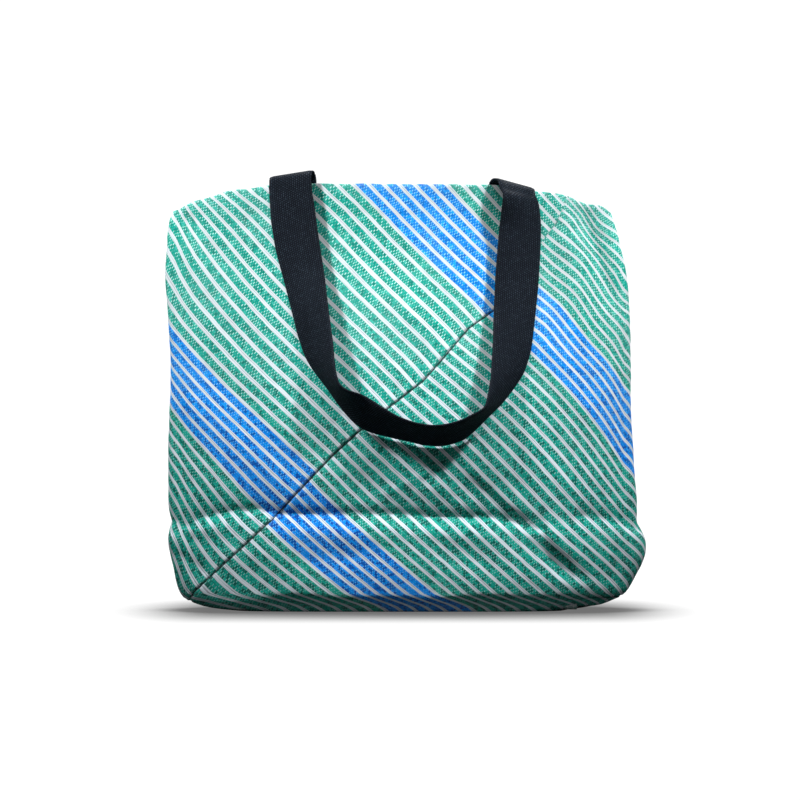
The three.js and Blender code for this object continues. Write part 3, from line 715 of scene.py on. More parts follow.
# --------------------------------------------------------------- materials
def cloth_material(name, repeat):
    """Bands of blue or green picks between white threads. Weave UV: stripe number, mm along."""
    material, g, bsdf = new_material(name)
    ramp, mix = g.ramp, g.mix
    flat_stripe, along = g.weave()
    across = flat_stripe * 10.0
    # low: painted light by height, 1 low on the bag and 0 from 300 mm up; where it is high, the
    # colours below get more painted shade
    low = g.attribute("low")

    # yarn wander
    wander = g.streaks(across, along, freq=(0.12, 0.07), detail=2.0)
    fine = g.streaks(across, along, freq=(0.9, 0.55))
    stripe = flat_stripe + (wander - 0.5) * 0.10
    stripe = stripe + (fine - 0.5) * 0.045
    cell = stripe.round()
    offset = stripe - cell

    # short picks of coloured yarn, three staggered rows to a band
    rows = (offset + 0.335) / 0.2233
    row = rows.floor()
    in_row = ramp(abs(rows.fract() - 0.5), over=(0.34, 0.50), to=(1.0, 0.0))
    jitter = g.streaks(cell, along, freq=(3.7, 0.06))
    pick_length = 2.6
    stagger = row * 0.5 + (offset * 0.35 + (cell * 0.37 + jitter * 2.2))
    pick = along * (1 / pick_length) + stagger
    shade = g.cell_noise(pick.floor(), cell, row)
    fleck_shade = g.cell_noise(pick.round(), cell + 31.0, row)
    bead = ramp(abs(pick.fract() - 0.5), over=(0.31, 0.44), to=(1.0, 0.0))
    band = ramp(abs(offset) - bead * 0.018, over=(0.305, 0.345), to=(1.0, 0.0))

    # six blue bands, then green ones, in each repeat; each colour is (green, blue)
    blue = ((cell + repeat * 20.0) % repeat).less_than(5.5)
    full = mix(blue, (0.003, 0.340, 0.258), (0.000, 0.235, 0.800))
    bright = mix(blue, (0.030, 0.460, 0.365), (0.004, 0.370, 0.900))
    # dark colour for darker picks at random, and painted shade in the gaps between rows of picks
    dark_pick_and_gap_shade = mix(blue, (0.0003, 0.105, 0.082), (0.000, 0.062, 0.360))
    # pale ground between the picks, lightened as painted highlight near the top; low on the bag it
    # gives way to a copy in painted shade
    pale = mix(blue, (0.45, 0.82, 0.77), (0.24, 0.66, 0.93))
    pale_in_painted_shade = mix(blue, (0.10, 0.44, 0.39), (0.05, 0.33, 0.80))
    pale = mix(low * 0.72, pale, pale_in_painted_shade)
    # brighter and darker picks at random, with fewer bright and more dark ones low on the bag: painted
    # shade by height over the real spread of tone
    yarn = mix(ramp(shade, over=(0.0, 0.35), to=(1.0 - low * 0.6, 0.0)), full, bright)
    deepened = ramp(shade, over=(0.50 - low * 0.12, 1.0 - low * 0.12), to=(0.0, 0.95))
    yarn = mix(deepened * (0.50 + low * 0.50), yarn, dark_pick_and_gap_shade)
    # pale flecks between the picks: the pale ground showing through, with painted glints
    fleck = (1.0 - bead) * in_row * ramp(fleck_shade, over=(0.15, 0.55), to=(0.12, 1.0))
    # painted shade in the gaps between rows of picks, stronger low on the bag
    band_color = mix((1.0 - in_row) * (0.20 + low * 0.60), yarn, dark_pick_and_gap_shade)
    band_color = mix(fleck, band_color, pale)

    # white threads, with two dark lines between them that come and go
    thread = (stripe.fract() - 0.5) * 11.2
    rib = ((along + fine * 1.3) * (FULL_TURN / 1.25)).sine()
    coming = g.streaks(cell, along, freq=(5.3, 0.035), layer=2.0)
    line = (ramp(abs(thread - 0.35), over=(0.20, 0.62), to=(1.0, 0.0))
            * ramp(coming, over=(0.38, 0.60), to=(0.25, 1.0)))
    second_line = (ramp(abs(thread + 1.15), over=(0.10, 0.45), to=(1.0, 0.0))
                   * ramp(coming, over=(0.62, 0.40), to=(0.15, 0.8)))
    line = line.maximum(second_line)
    # whites darker near the top and lighter, bluer low down: painted light by height; the dark lines
    # between the threads are painted darker low down as shade
    white = mix(low, (0.680, 0.750, 0.785), (0.700, 0.790, 0.860))
    white = mix(line * (0.46 + low * 0.32), white, (0.15, 0.18, 0.21))
    white = mix(0.10 + rib * 0.10, white, (0.42, 0.48, 0.53))
    # stray slubs of blue and violet
    slub = g.streaks(across, along, freq=(0.42, 0.045), layer=7.0)
    white = mix(ramp(slub, over=(0.74, 0.80), to=(0.0, 0.45)), white, (0.22, 0.24, 0.62))
    color = mix(band, white, band_color)

    # slow colour drift with a painted whitish haze, stronger near the top; darker strands; and a
    # paler, greyer tone where worn
    drift_noise = g.streaks(across, along, freq=(0.02, 0.015), detail=3.0, layer=3.0)
    drift_and_top_haze = ramp(drift_noise, over=(0.35, 0.75), to=(0.0, 0.06 - low * 0.05))
    color = mix(drift_and_top_haze, color, (0.50, 0.70, 0.70))
    strand = g.streaks(across, along, freq=(1.6, 0.16), detail=2.0, layer=1.0)
    color = mix((strand - 0.2) * 0.22, color, mix(0.5, color, (0.0, 0.0, 0.0)))
    speck = g.noise(g.position(), scale=900.0, detail=2.0, rough=0.7)
    worn = g.attribute("wear") * ramp(speck, over=(0.40, 0.62))
    color = mix(worn * 0.20, color, (0.52, 0.57, 0.58))

    # relief of the yarns
    under = (1.0 - band) * (0.65 - line * 0.5)
    height = bead * band + (under + (rib * 0.06 + strand * 0.35))
    roughness = ramp(bead, over=(0.0, 1.0), to=(0.9, 0.74))
    finish_surface(g, bsdf, color, roughness, height,
                   strength=0.85, distance=0.00042, specular=0.08)
    g.feed(bsdf, {"Sheen Weight": 0.02, "Sheen Roughness": 0.45})
    return material


def webbing_material(name):
    """Narrow ribbed webbing. Weave UV: mm across, mm along."""
    material, g, bsdf = new_material(name)
    rib_width, pick_length = 1.75, 2.0
    across, along = g.weave()
    column = (across / rib_width).floor()
    odd = column % 2.0
    rib = (across * (FULL_TURN / rib_width)).sine()
    pick = (along * (FULL_TURN / pick_length) + odd * math.pi).sine()
    bead = (rib * 0.5 + 0.5) * (pick * 0.5 + 0.5)
    speck = g.cell_noise(column, (along / pick_length).floor(), dimensions="2D")
    drift = g.streaks(across, along, freq=(0.06, 0.02), detail=3.0)
    base = g.mix(g.ramp(drift, over=(0.3, 0.7)), (0.0010, 0.0020, 0.0042),
                 (0.0022, 0.0036, 0.0066))
    light = g.mix(g.ramp(speck, over=(0.5, 1.0)), (0.017, 0.026, 0.040), (0.036, 0.053, 0.076))
    color = g.mix(bead, base, light)
    half = STRAP_W / 2
    edge = g.ramp(abs(across - half), over=(half - 2.2, half - 0.4))
    color = g.mix(edge * 0.35, color, (0.022, 0.025, 0.033))
    finish_surface(g, bsdf, color, g.ramp(bead, over=(0.0, 1.0), to=(0.88, 0.62)),
                   bead + speck * 0.25, strength=0.7, distance=0.00045, specular=0.10)
    return material


def thread_material(name, color):
    """Twisted sewing thread."""
    material, g, bsdf = new_material(name)
    position = g.position()
    noise = g.noise(position, scale=1400.0, detail=2.0)
    twist = g.add("TexWave", {"Vector": position, "Scale": 900.0}, "Fac",
                  wave_type="BANDS", bands_direction="DIAGONAL")
    lighter = tuple(min(1.0, c * 2.2 + 0.01) for c in color)
    finish_surface(g, bsdf, g.mix(noise * twist, color, lighter),
                   g.ramp(noise, over=(0.3, 0.7), to=(0.5, 0.75)),
                   twist, strength=0.5, distance=0.0001)
    return material


def seam_material(name):
    """Overlocked raw edge. Weave UV: mm across, mm along; `dark` marks the needle line."""
    material, g, bsdf = new_material(name)
    across, along = g.weave()
    # slanted loops wrapped over the edge, tied by a chain at either side
    slant = ((along + abs(across) * 0.35) * (FULL_TURN / 2.1)).sine()
    loops = g.ramp(slant, over=(0.1, 0.7))
    chain = g.ramp(abs(abs(across) - 2.6), over=(0.25, 0.6), to=(1.0, 0.0))
    mottle = g.streaks(across, along, freq=(0.9, 0.25), detail=3.0)
    patches = g.streaks(across, along, freq=(0.02, 0.05), detail=2.0)
    stripes = g.ramp((along * (FULL_TURN / 14.0)).sine(), over=(-0.2, 0.1))
    color = g.mix(stripes, (0.50, 0.56, 0.58), (0.03, 0.26, 0.20))
    color = g.mix(mottle * 0.5, color, (0.30, 0.42, 0.40))
    color = g.mix(loops * 0.75, color, (0.60, 0.64, 0.65))
    color = g.mix(chain * 0.7, color, (0.66, 0.69, 0.70))
    color = g.mix(patches * 0.25, color, (0.35, 0.42, 0.42))
    color = g.mix(g.attribute("dark"), color, (0.010, 0.030, 0.028))
    finish_surface(g, bsdf, color, g.ramp(loops, over=(0.0, 1.0), to=(0.9, 0.72)),
                   loops + chain + mottle * 0.4, strength=0.6, distance=0.0003, specular=0.2)
    return material


CLOTH = {k: cloth_material("cloth_strip_" + k, float(STRIPES[k]["repeat"])) for k in "ab"}
WEBBING = webbing_material("webbing_black")
THREAD = thread_material("thread_black", (0.012, 0.013, 0.016))
THREAD_LIGHT = thread_material("thread_light", (0.42, 0.50, 0.50))
SEAM_CLOTH = seam_material("seam_overlock")
THREAD_SEAM = thread_material("thread_seam", (0.012, 0.030, 0.030))


# ------------------------------------------------------------- mesh helpers
def make_piece(name, points, faces, material, uv=None, attributes=None):
    """A smooth closed mesh from points in mm, with UV and attributes given per vertex."""
    mesh = bpy.data.meshes.new(name)
    mesh.from_pydata((np.asarray(points, float) / 1000.0).tolist(), [], faces)
    mesh.validate(verbose=False)
    if uv is not None:
        layer = mesh.uv_layers.new(name="Weave")
        corner_vertex = np.zeros(len(mesh.loops), np.int64)
        mesh.loops.foreach_get("vertex_index", corner_vertex)
        layer.data.foreach_set("uv", np.asarray(uv, np.float32)[corner_vertex].ravel())
    for key, values in (attributes or {}).items():
        attribute = mesh.attributes.new(key, "FLOAT", "POINT")
        attribute.data.foreach_set("value", np.asarray(values, np.float32))
    piece = bpy.data.objects.new(name, mesh)
    bpy.context.scene.collection.objects.link(piece)
    # merge doubled points and turn every face outward
    bm = bmesh.new()
    bm.from_mesh(mesh)
    bmesh.ops.remove_doubles(bm, verts=bm.verts, dist=2e-6)
    bmesh.ops.dissolve_degenerate(bm, edges=bm.edges, dist=1e-7)
    bmesh.ops.recalc_face_normals(bm, faces=bm.faces)
    bm.to_mesh(mesh)
    bm.free()
    mesh.polygons.foreach_set("use_smooth", np.ones(len(mesh.polygons), bool))
    mesh.update()
    mesh.materials.append(material)
    return piece


def grid_faces(rows, columns, flip=False, base=0):
    r, c = np.meshgrid(np.arange(rows - 1), np.arange(columns - 1), indexing="ij")
    a = base + r * columns + c
    quads = np.stack([a, a + 1, a + columns + 1, a + columns], -1).reshape(-1, 4)
    return (quads[:, ::-1] if flip else quads).tolist()


def tube_faces(rings, sides):
    """Faces of a tube of closed rings, with a cap at each end."""
    faces = []
    for i in range(rings - 1):
        for j in range(sides):
            a, b = i * sides + j, i * sides + (j + 1) % sides
            faces.append([a, b, b + sides, a + sides])
    faces.append(list(range(sides))[::-1])
    faces.append([(rings - 1) * sides + j for j in range(sides)])
    return faces


def slab(name, outer, inner, uv, attributes, material):
    """Closed solid between two grids of the same size."""
    rows, columns = outer.shape[:2]
    count = rows * columns
    faces = grid_faces(rows, columns) + grid_faces(rows, columns, True, count)
    border = (list(range(columns)) + [r * columns + columns - 1 for r in range(1, rows)]
              + [(rows - 1) * columns + c for c in range(columns - 2, -1, -1)]
              + [r * columns for r in range(rows - 2, 0, -1)])
    for a, b in zip(border, border[1:] + border[:1]):
        faces.append([a, a + count, b + count, b])
    return make_piece(name, np.concatenate([outer.reshape(-1, 3), inner.reshape(-1, 3)]), faces,
                      material, np.concatenate([uv.reshape(-1, 2)] * 2),
                      {k: np.concatenate([v.ravel()] * 2) for k, v in attributes.items()})


def thread_tube(points, radius, sides=6):
    """Vertices of a round thread along points, drawn in at both ends."""
    run = unit(np.gradient(points, axis=0))
    a = unit(np.cross(run, [0, 1.0, 0.02]))
    b = np.cross(run, a)
    angle = (np.arange(sides) * 2 * np.pi / sides)[None, :, None]
    radii = np.full(len(points), radius)
    radii[[0, -1]] *= 0.45
    around = np.cos(angle) * a[:, None] + np.sin(angle) * b[:, None]
    return (points[:, None] + radii[:, None, None] * around).reshape(-1, 3)


def stitches(name, runs, pitch, radius, arch, material, duty=0.78, uneven=0.15):
    """Rows of short arched threads, each dipping into the cloth at its ends.

    runs: (points, outward normals) of each row; duty: share of the pitch a thread spans."""
    all_points, faces, base = [], [], 0
    k = np.linspace(0, 1, 6)
    for points, normals in runs:
        arc = arc_length(points)
        count = max(1, int(round(arc[-1] / pitch)))
        for i in range(count):
            start = (i + (1 - duty) / 2) / count * arc[-1]
            end = (i + (1 + duty) / 2) / count * arc[-1]
            at = start + k * (end - start)
            lot = math.sin(i * 12.9898 + len(points)) * 43758.5453
            fat = radius * (1 + uneven * (2 * (lot - math.floor(lot)) - 1))
            lift = (arch * np.sin(np.pi * k) - fat * 0.5)[:, None]
            path = resample(at, arc, points) + resample(at, arc, normals) * lift
            tube = thread_tube(path, fat)
            all_points.append(tube)
            faces += [[v + base for v in face] for face in tube_faces(len(path), 6)]
            base += len(tube)
    return make_piece(name, np.concatenate(all_points), faces, material)


# ------------------------------------------------------------ cloth strips
STRIPS = {}


def build_strip(which):
    """One strip as a closed sheet: outer face, rolled rim, inner face."""
    grid, wrap_x, wrap_z, from_seam = strip_grid(which)
    outer, plain = displaced(which, grid, wrap_x, wrap_z, from_seam)
    rows, columns = outer.shape[:2]
    # on the base the cloth lies flat, and its normal turns from straight down over six rows
    normal = outward_normals(outer)
    down = np.array([0, 0, -1])
    normal[:N_BASE] = down
    blend = smooth(np.linspace(0, 1, 6))[:, None, None]
    turning = slice(N_BASE, N_BASE + 6)
    normal[turning] = normal[turning] * blend + down * (1 - blend)
    normal /= np.linalg.norm(normal, axis=2, keepdims=True)
    z = outer[..., 2]
    hang = rim_z(outer[..., 0]) - z
    thickness = WALL + 1.5 * smooth((5.0 - hang) / 3.5)
    inner = outer - normal * thickness[..., None]
    flat = slice(0, N_BASE + 2)
    inner[flat, :, 2] = np.maximum(inner[flat, :, 2], outer[flat, :, 2] + WALL * 0.9)

    across, up = to_view(outer[..., 0], outer[..., 1], z)
    number, along = stripe_coords(which, across + (wrap_x - grid[..., 0]),
                                  up + (wrap_z - grid[..., 2]))
    wear = (np.exp(-from_seam / 2.5) * 0.8 + np.exp(-np.maximum(0, hang) / 2.5)
            + 0.7 * np.exp(-np.abs(z - 5) / 5.0))
    # painted light by height: the cloth material uses this to paint the fall of light down the bag
    low = smooth((300 - z) / 210)

    # three rows roll the rim over from the outer face to the inner
    centre = (outer[-1] + inner[-1]) / 2
    radius = np.linalg.norm(outer[-1] - inner[-1], axis=1)[:, None] / 2
    out = (outer[-1] - inner[-1]) / (2 * radius)
    points, uv = [outer], [np.stack([number, along], -1)]
    for angle in (0.25 * math.pi, 0.5 * math.pi, 0.75 * math.pi):
        turned = math.cos(angle) * out + math.sin(angle) * np.array([0, 0, 1.0])
        points.append((centre + radius * turned)[None])
        rolled = number[-1] + STRIPES[which]["slope"][1] * radius[:, 0] * angle
        uv.append(np.stack([rolled, along[-1]], -1)[None])
    points.append(inner[::-1])
    uv.append(uv[0][::-1])
    wear = np.concatenate([wear, np.ones((3, columns)), 0.3 * wear[::-1]])
    low = np.concatenate([low, np.zeros((3, columns)), low[::-1]])

    all_rows = rows + 3 + rows
    faces = grid_faces(all_rows, columns)
    # close the two seam edges and the bottom edge
    for c in (0, columns - 1):
        for r in range(rows - 1):
            a, b = r * columns + c, (r + 1) * columns + c
            a_in, b_in = (all_rows - 1 - r) * columns + c, (all_rows - 2 - r) * columns + c
            faces.append([a, a_in, b_in, b] if c == 0 else [a, b, b_in, a_in])
        roll = [(rows - 1 + k) * columns + c for k in range(5)]
        faces.append(roll if c == 0 else roll[::-1])
    last = (all_rows - 1) * columns
    for c in range(columns - 1):
        faces.append([last + c, last + c + 1, c + 1, c])
    STRIPS[which] = dict(plain=plain, normal=normal, from_seam=from_seam, front=grid[..., 1] < 0)
    return make_piece("cloth_strip_" + which, np.concatenate(points).reshape(-1, 3), faces,
                      CLOTH[which], np.concatenate(uv).reshape(-1, 2),
                      {"wear": np.clip(wear, 0, 1).ravel(), "low": low.ravel()})


def bend_at_fold(piece):
    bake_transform(piece)


for which in "ab":
    strip = build_strip(which)
    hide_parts(f"strip_{which}_lower", f"strip_{which}_upper")
    bend_at_fold(strip)

# ------------------------------------------------------------- the handles
# Edges of the front handle as seen on the view plane, as (across, up), from its left end down,
# round the loop and up to its right end
OUTER_EDGE = np.array([
    (-117.39, 371.864), (-117.734, 363.35), (-116.014, 334.54), (-111.714, 307.88),
    (-106.124, 288.1), (-98.298, 258), (-92.794, 235.64), (-86.43, 217.15), (-79.894, 206.4),
    (-73.874, 198.66), (-66.994, 190.06), (-60.974, 180.6), (-52.374, 169.42),
    (-44.634, 160.82), (-37.754, 155.66), (-27.434, 151.876), (-14.534, 148.78),
    (1.806, 145.34), (14.706, 141.9), (25.026, 141.04), (31.906, 141.212), (41.366, 143.19),
    (49.106, 145.856), (55.126, 150.5), (64.586, 159.616), (71.466, 166.84),
    (77.916, 172.86), (86.516, 182.32), (92.966, 190.92), (97.696, 197.8), (101.91, 204.68),
    (107.586, 222.74), (110.166, 244.24), (113.262, 272.62), (115.326, 301.43),
    (116.186, 330.24), (114.81, 345.72), (113.176, 353.46), (111.026, 358.19)])
INNER_EDGE = np.array([
    (-81.614, 378.4), (-81.356, 363.264), (-79.034, 350.02), (-74.734, 317.34),
    (-70.004, 288.1), (-66.65, 258), (-62.694, 228.76), (-61.404, 210.7), (-58.394, 195.22),
    (-53.234, 190.06), (-45.494, 187.48), (-36.894, 184.9), (-29.154, 180.17),
    (-16.254, 172), (-8.084, 166.84), (5.246, 161.68), (21.586, 158.498), (35.346, 159.616),
    (48.246, 163.4), (58.222, 168.56), (66.736, 172.86), (68.886, 176.3), (70.606, 184.9),
    (73.186, 199.52), (74.906, 230.48), (75.766, 258.86), (76.97, 287.24), (79.206, 315.62),
    (81.356, 337.12), (84.366, 357.76), (83.678, 366.36), (80.496, 370.66)])
# Points opposite each other across the webbing: outer (across, up), inner (across, up)
EDGE_PAIRS = np.array([
    (-117.39, 371.864, -81.614, 378.4), (-116.444, 339.7, -78.174, 342.28),
    (-111.714, 307.88, -74.304, 313.9), (-98.298, 258, -67.424, 264.88),
    (-86.43, 217.15, -62.694, 228.76), (-79.894, 206.4, -61.576, 214.14),
    (-73.874, 198.66, -60.114, 202.96), (-66.994, 190.06, -56.674, 192.64),
    (-60.974, 180.6, -50.654, 189.2), (-52.374, 169.42, -42.914, 186.62),
    (-37.754, 155.66, -32.594, 182.32), (-14.534, 148.78, -12.814, 169.85),
    (1.806, 145.34, 1.806, 162.97), (25.026, 141.04, 21.586, 158.498),
    (49.106, 145.856, 43.946, 162.024), (64.586, 159.616, 56.846, 167.7),
    (77.916, 172.86, 67.166, 173.72), (86.516, 182.32, 69.746, 180.6),
    (97.696, 197.8, 72.756, 196.08), (107.586, 222.74, 74.906, 227.9),
    (113.262, 272.62, 76.454, 275.2), (116.186, 330.24, 80.754, 333.68),
    (113.176, 353.46, 84.366, 359.48), (111.026, 358.19, 80.496, 370.66)])
STRAP_ACROSS = 13             # points across the webbing
STRAP_CLEAR = 0.55 + STRAP_T / 2
TAIL_LEFT, TAIL_RIGHT = -115.4, 108.6  # outer edges of the ends sewn inside
TAIL_LOW = 322.0              # lower edge of those ends


def strap_edges(count):
    """Matched points of the outer and inner edge, evenly along the webbing."""
    lines, opposite = (OUTER_EDGE, INNER_EDGE), (EDGE_PAIRS[:, :2], EDGE_PAIRS[:, 2:])
    stations = [nearest_on_line(*pts.T, line)[2] * arc_length(line)[-1]
                for line, pts in zip(lines, opposite)]
    key = sum(station - station[0] for station in stations) / 2
    at = np.linspace(0, key[-1], count)
    edges = []
    for line, station in zip(lines, stations):
        # the small steps keep the stations increasing
        rising = np.maximum.accumulate(station + np.arange(len(station)) * 8.6e-5)
        place = pchip(np.stack([key, rising], 1), at)
        edges.append(soften(resample(place, arc_length(line), line), 5))
    return edges


def behind_strap(x, z, side):
    """y of the webbing's middle when it just clears the cloth, taken on the front."""
    return -np.abs(outer_y(x, np.minimum(z, rim_z(x)), side)) - STRAP_CLEAR


def over_rim(rung, tails, side):
    """From a rung (outer, inner point) of a leg over the rim to the end sewn inside."""
    edges = []
    for (x, y, z), tail_x in zip(rung, tails):
        inside = abs(float(outer_y(tail_x, min(345.0, float(rim_z(tail_x)) - 6), side)))
        tail_y = -min(inside - WALL - 1.9 - STRAP_T / 2 - 0.3, 13.3)
        drop = min(abs(y - tail_y) / 2, 9.0)
        middle = (x + tail_x) / 2
        crest = max(z, max(float(rim_z(middle + k)) for k in (-4, 0, 4)) + 1.9)
        if 0 < tail_x < 100:
            crest += 1.3
        a = np.linspace(0, math.pi, 13)
        k = (1 - np.cos(a)) / 2
        arch_z = (z - drop) + (drop + crest - z) * np.maximum(0.0, np.sin(a)) ** 0.6
        arch = np.stack([x + (tail_x - x) * k, y + (tail_y - y) * k, arch_z], 1)
        tail_z = arch_z[-1] + (TAIL_LOW - arch_z[-1]) * np.linspace(0, 1, 15)[1:]
        tail = np.stack([np.full(14, tail_x), np.full(14, tail_y), tail_z], 1)
        edges.append(np.concatenate([arch, tail]))
    return np.stack(edges, 1)


def strap_grid(side):
    """Middle surface of a handle: rows along it, columns from its outer to its inner edge."""
    outer, inner = strap_edges(260)
    seen = np.hypot(*(outer - inner).T)
    # the inner edge stands out from the bag where the webbing is seen narrower than it is
    rise = np.sqrt(np.maximum(0, STRAP_W ** 2 - np.minimum(seen, STRAP_W) ** 2))
    rise = soften(np.maximum(rise, 13.0), 14)
    if side > 0:
        rise = rise * 0.94
    outer_depth = np.full(len(outer), -30.0)
    for _ in range(4):
        x, z = from_view(*outer.T, outer_depth)
        outer_depth = behind_strap(x, z, side)
    inner_depth = outer_depth - rise
    xo, zo = from_view(*outer.T, outer_depth)
    xi, zi = from_view(*inner.T, inner_depth)
    # keep the webbing clear of the cloth between its edges
    share = np.linspace(0, 1, STRAP_ACROSS)
    lift = np.zeros(len(outer))
    for k in share:
        need = behind_strap(xo + k * (xi - xo), zo + k * (zi - zo), side)
        lift = np.maximum(lift, outer_depth + k * (inner_depth - outer_depth) - need)
    for _ in range(6):
        lift = np.maximum(lift, soften(lift, 6))
    rungs = np.stack([np.stack([xo, outer_depth - lift, zo], 1),
                      np.stack([xi, inner_depth - lift, zi], 1)], 1)

    # each end goes over the rim; it takes the place of the rungs above its start
    left = over_rim(rungs[0], (TAIL_LEFT, TAIL_LEFT + STRAP_W), side)[::-1]
    right = over_rim(rungs[-1], (TAIL_RIGHT, TAIL_RIGHT - STRAP_W), side)
    first, last = 0, len(rungs) - 1
    while first < 30 and (rungs[first, :, 2] > left[-1, :, 2] - 1.0).any():
        first += 1
    while last > len(rungs) - 30 and (rungs[last, :, 2] > right[0, :, 2] - 1.0).any():
        last -= 1
    rungs = np.concatenate([left, rungs[first:last + 1], right])

    # even spacing along the middle, then a light smoothing over the joins
    arc = arc_length(rungs.mean(1))
    at = np.linspace(0, arc[-1], int(arc[-1] / (1.9)))
    even = soften(np.stack([resample(at, arc, rungs[:, e]) for e in (0, 1)], 1), 2)
    span = even[:, 1] - even[:, 0]
    grid = even[:, :1] + share[None, :, None] * span[:, None]
    # the woven edges are very slightly scalloped
    scallop = unit(span) * (0.16 * np.sin(at * 2 * np.pi / 4.3))[:, None]
    grid[:, 0] -= scallop
    grid[:, -1] += scallop
    if side > 0:
        grid[..., 1] *= -1
    return grid


def build_strap(name, grid, edge_share=0.45):
    """Closed webbing about its middle surface, thinned to edge_share at the long edges."""
    rows, columns = grid.shape[:2]
    normal = unit(np.cross(np.gradient(grid, axis=0), np.gradient(grid, axis=1)))
    half = np.full(columns, STRAP_T / 2)
    half[[0, -1]] *= edge_share
    offset = normal * half[None, :, None]
    rings = np.concatenate([grid + offset, (grid - offset)[:, ::-1]], axis=1)
    across = arc_length(grid[rows // 2])
    along = arc_length(grid[:, columns // 2])
    uv = np.stack([np.tile(np.concatenate([across, across[::-1]]), rows),
                   np.repeat(along, 2 * columns)], -1)
    return make_piece(name, rings.reshape(-1, 3), tube_faces(rows, 2 * columns), WEBBING,
                      uv, {"wear": np.zeros(rows * 2 * columns)})


STRAPS = {}
for side, face in SIDES:
    STRAPS[face] = strap_grid(side)
    strap = build_strap(f"{face}_handle_webbing", STRAPS[face])
    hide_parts(f"{face}_handle_strap", f"{face}_strap_end_left",
                f"{face}_strap_end_right")
    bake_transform(strap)


# ---------------------------------------------------------------- rim hems
def half_row(row, side):
    """Points and normals of one row on one face, from the left end (front) or right end (back)."""
    parts = [STRIPS[k] for k in ("ba" if side < 0 else "ab")]
    masks = [part["front"][row] == (side < 0) for part in parts]
    return [np.concatenate([part[key][row][mask] for part, mask in zip(parts, masks)])
            for key in ("plain", "normal")]


def build_hem(side, face):
    """The cloth turned in at the rim, and the stitches that hold it down."""
    columns = 190
    rows = [r + N_BASE for r, h in enumerate(ROW_HEIGHTS) if h >= TOP - HEM - 1.2][:-1]
    outer, normal = [], []
    for row in rows:
        points, normals = half_row(row, side)
        arc = arc_length(points)
        at = np.linspace(0.9, arc[-1] - 0.9, columns)
        outer.append(resample(at, arc, points))
        normal.append(resample(at, arc, normals))
    outer, normal = np.array(outer), unit(np.array(normal))
    # the last row stops just short of the rolled rim
    step = outer[-1] - outer[-2]
    short = rim_z(outer[-1, :, 0]) - 1.2 - outer[-1, :, 2]
    outer[-1] += step * (short / np.maximum(1e-6, step[:, 2]))[:, None]
    x, z = outer[..., 0], outer[..., 2]
    rim = rim_z(x)
    hang = rim - z
    lump = 1.5 * np.exp(-(((x + side * seam_x(z)) / 7.0) ** 2))
    wave = 0.22 * np.sin(x / 2.1) * np.exp(-(((hang - HEM + 3) / 2.2) ** 2))
    inset = WALL + 0.12 + 1.5 * smooth((4.4 - hang) / 3.5) + lump
    near = outer - normal * inset[..., None]
    far = outer - normal * (inset + 1.15 + wave)[..., None]
    far[0] = outer[0] - normal[0] * (inset[0] + 0.55)[:, None]
    # the hem shows the same stripes, turned over
    uv = np.stack(stripe_coords("b", x, 2 * rim - z), -1)
    wear = 0.4 * np.exp(-hang / 3.0) + 0.3 * np.exp(-(HEM - hang) / 1.5)
    hem = slab(f"rim_hem_fold_{face}", near, far, uv, {"wear": wear}, CLOTH["b"])
    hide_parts(f"rim_hem_{face}")
    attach(hem, "upper_bag")
    row = np.argmin(np.abs(hang[:, columns // 2] - (HEM - 3)))
    thread = stitches(f"rim_hem_stitching_{face}", [(far[row], -normal[row])],
                      pitch=3.3, radius=0.32, arch=0.30, material=THREAD_LIGHT)
    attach(thread, "upper_bag")


for side, face in SIDES:
    build_hem(side, face)


# ---------------------------------------------------------- diagonal seams
def strip_edge(which, row, from_end, distances):
    """Points and normals of a strip at distances from its seam edge, then those at the edge."""
    turn = slice(None, None, -1) if from_end else slice(None)
    strip = STRIPS[which]
    points, normals, distance = [
        strip[key][row][turn][:24] for key in ("plain", "normal", "from_seam")]
    return (resample(distances, distance, points), resample(distances, distance, normals),
            points[0], normals[0])


def build_diagonal_seam(side, face):
    """Allowance tape on the inside, and the needle thread in the groove."""
    reach = np.array([8.2, 6.6, 4.6, 2.8, 1.4])
    middle = len(reach)
    points, normal = [], []
    for r, h in enumerate(ROW_HEIGHTS):
        if h < 13 or h > TOP - HEM - 3.5:
            continue
        pa, na, edge_a, edge_na = strip_edge("a", r + N_BASE, side > 0, reach)
        pb, nb, edge_b, edge_nb = strip_edge("b", r + N_BASE, side < 0, reach)
        points.append(np.concatenate([pa, (edge_a + edge_b)[None] / 2, pb[::-1]]))
        normal.append(np.concatenate([na, (edge_na + edge_nb)[None] / 2, nb[::-1]]))
    points, normal = np.array(points), unit(np.array(normal))
    across = np.concatenate([reach, [0], -reach[::-1]])
    inset = WALL + 0.15 + 2.15 * np.exp(-np.abs(across / 2.4) ** 2)
    thickness = np.where(np.abs(across) > 8, 0.45, 1.1)
    outer = points - normal * inset[None, :, None]
    inner = points - normal * (inset + thickness)[None, :, None]
    shape = points.shape[:2]
    along = arc_length(points[:, middle])[:, None]
    uv = np.stack([np.broadcast_to(across, shape), np.broadcast_to(along, shape)], -1)
    dark = np.broadcast_to((np.abs(across) < 1.0) * 1.0, shape)
    tape = slab(f"{face}_seam_allowance", outer, inner, uv, {"dark": dark}, SEAM_CLOTH)
    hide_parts(f"{face}_seam_lower", f"{face}_seam_upper")
    bend_at_fold(tape)
    line, out = points[:, middle], normal[:, middle]
    low = line[:, 2] < 256
    line, out = line[low], out[low]
    thread = stitches(f"{face}_seam_thread", [(line - out * 1.15, out)], pitch=3.6, radius=0.36,
                      arch=0.25, material=THREAD_SEAM, duty=0.86, uneven=0.5)
    bend_at_fold(thread)


for side, face in SIDES:
    build_diagonal_seam(side, face)

# -------------------------------------------------------------- base seams
TAPE_W, TAPE_T = 11.0, 1.15
CORNER_X = 140.5
CORNER_RADIUS = 4.5
CORNER_LOW, CORNER_HIGH = 6.0, 15.2  # where the tape leaves the wall, and its upper end


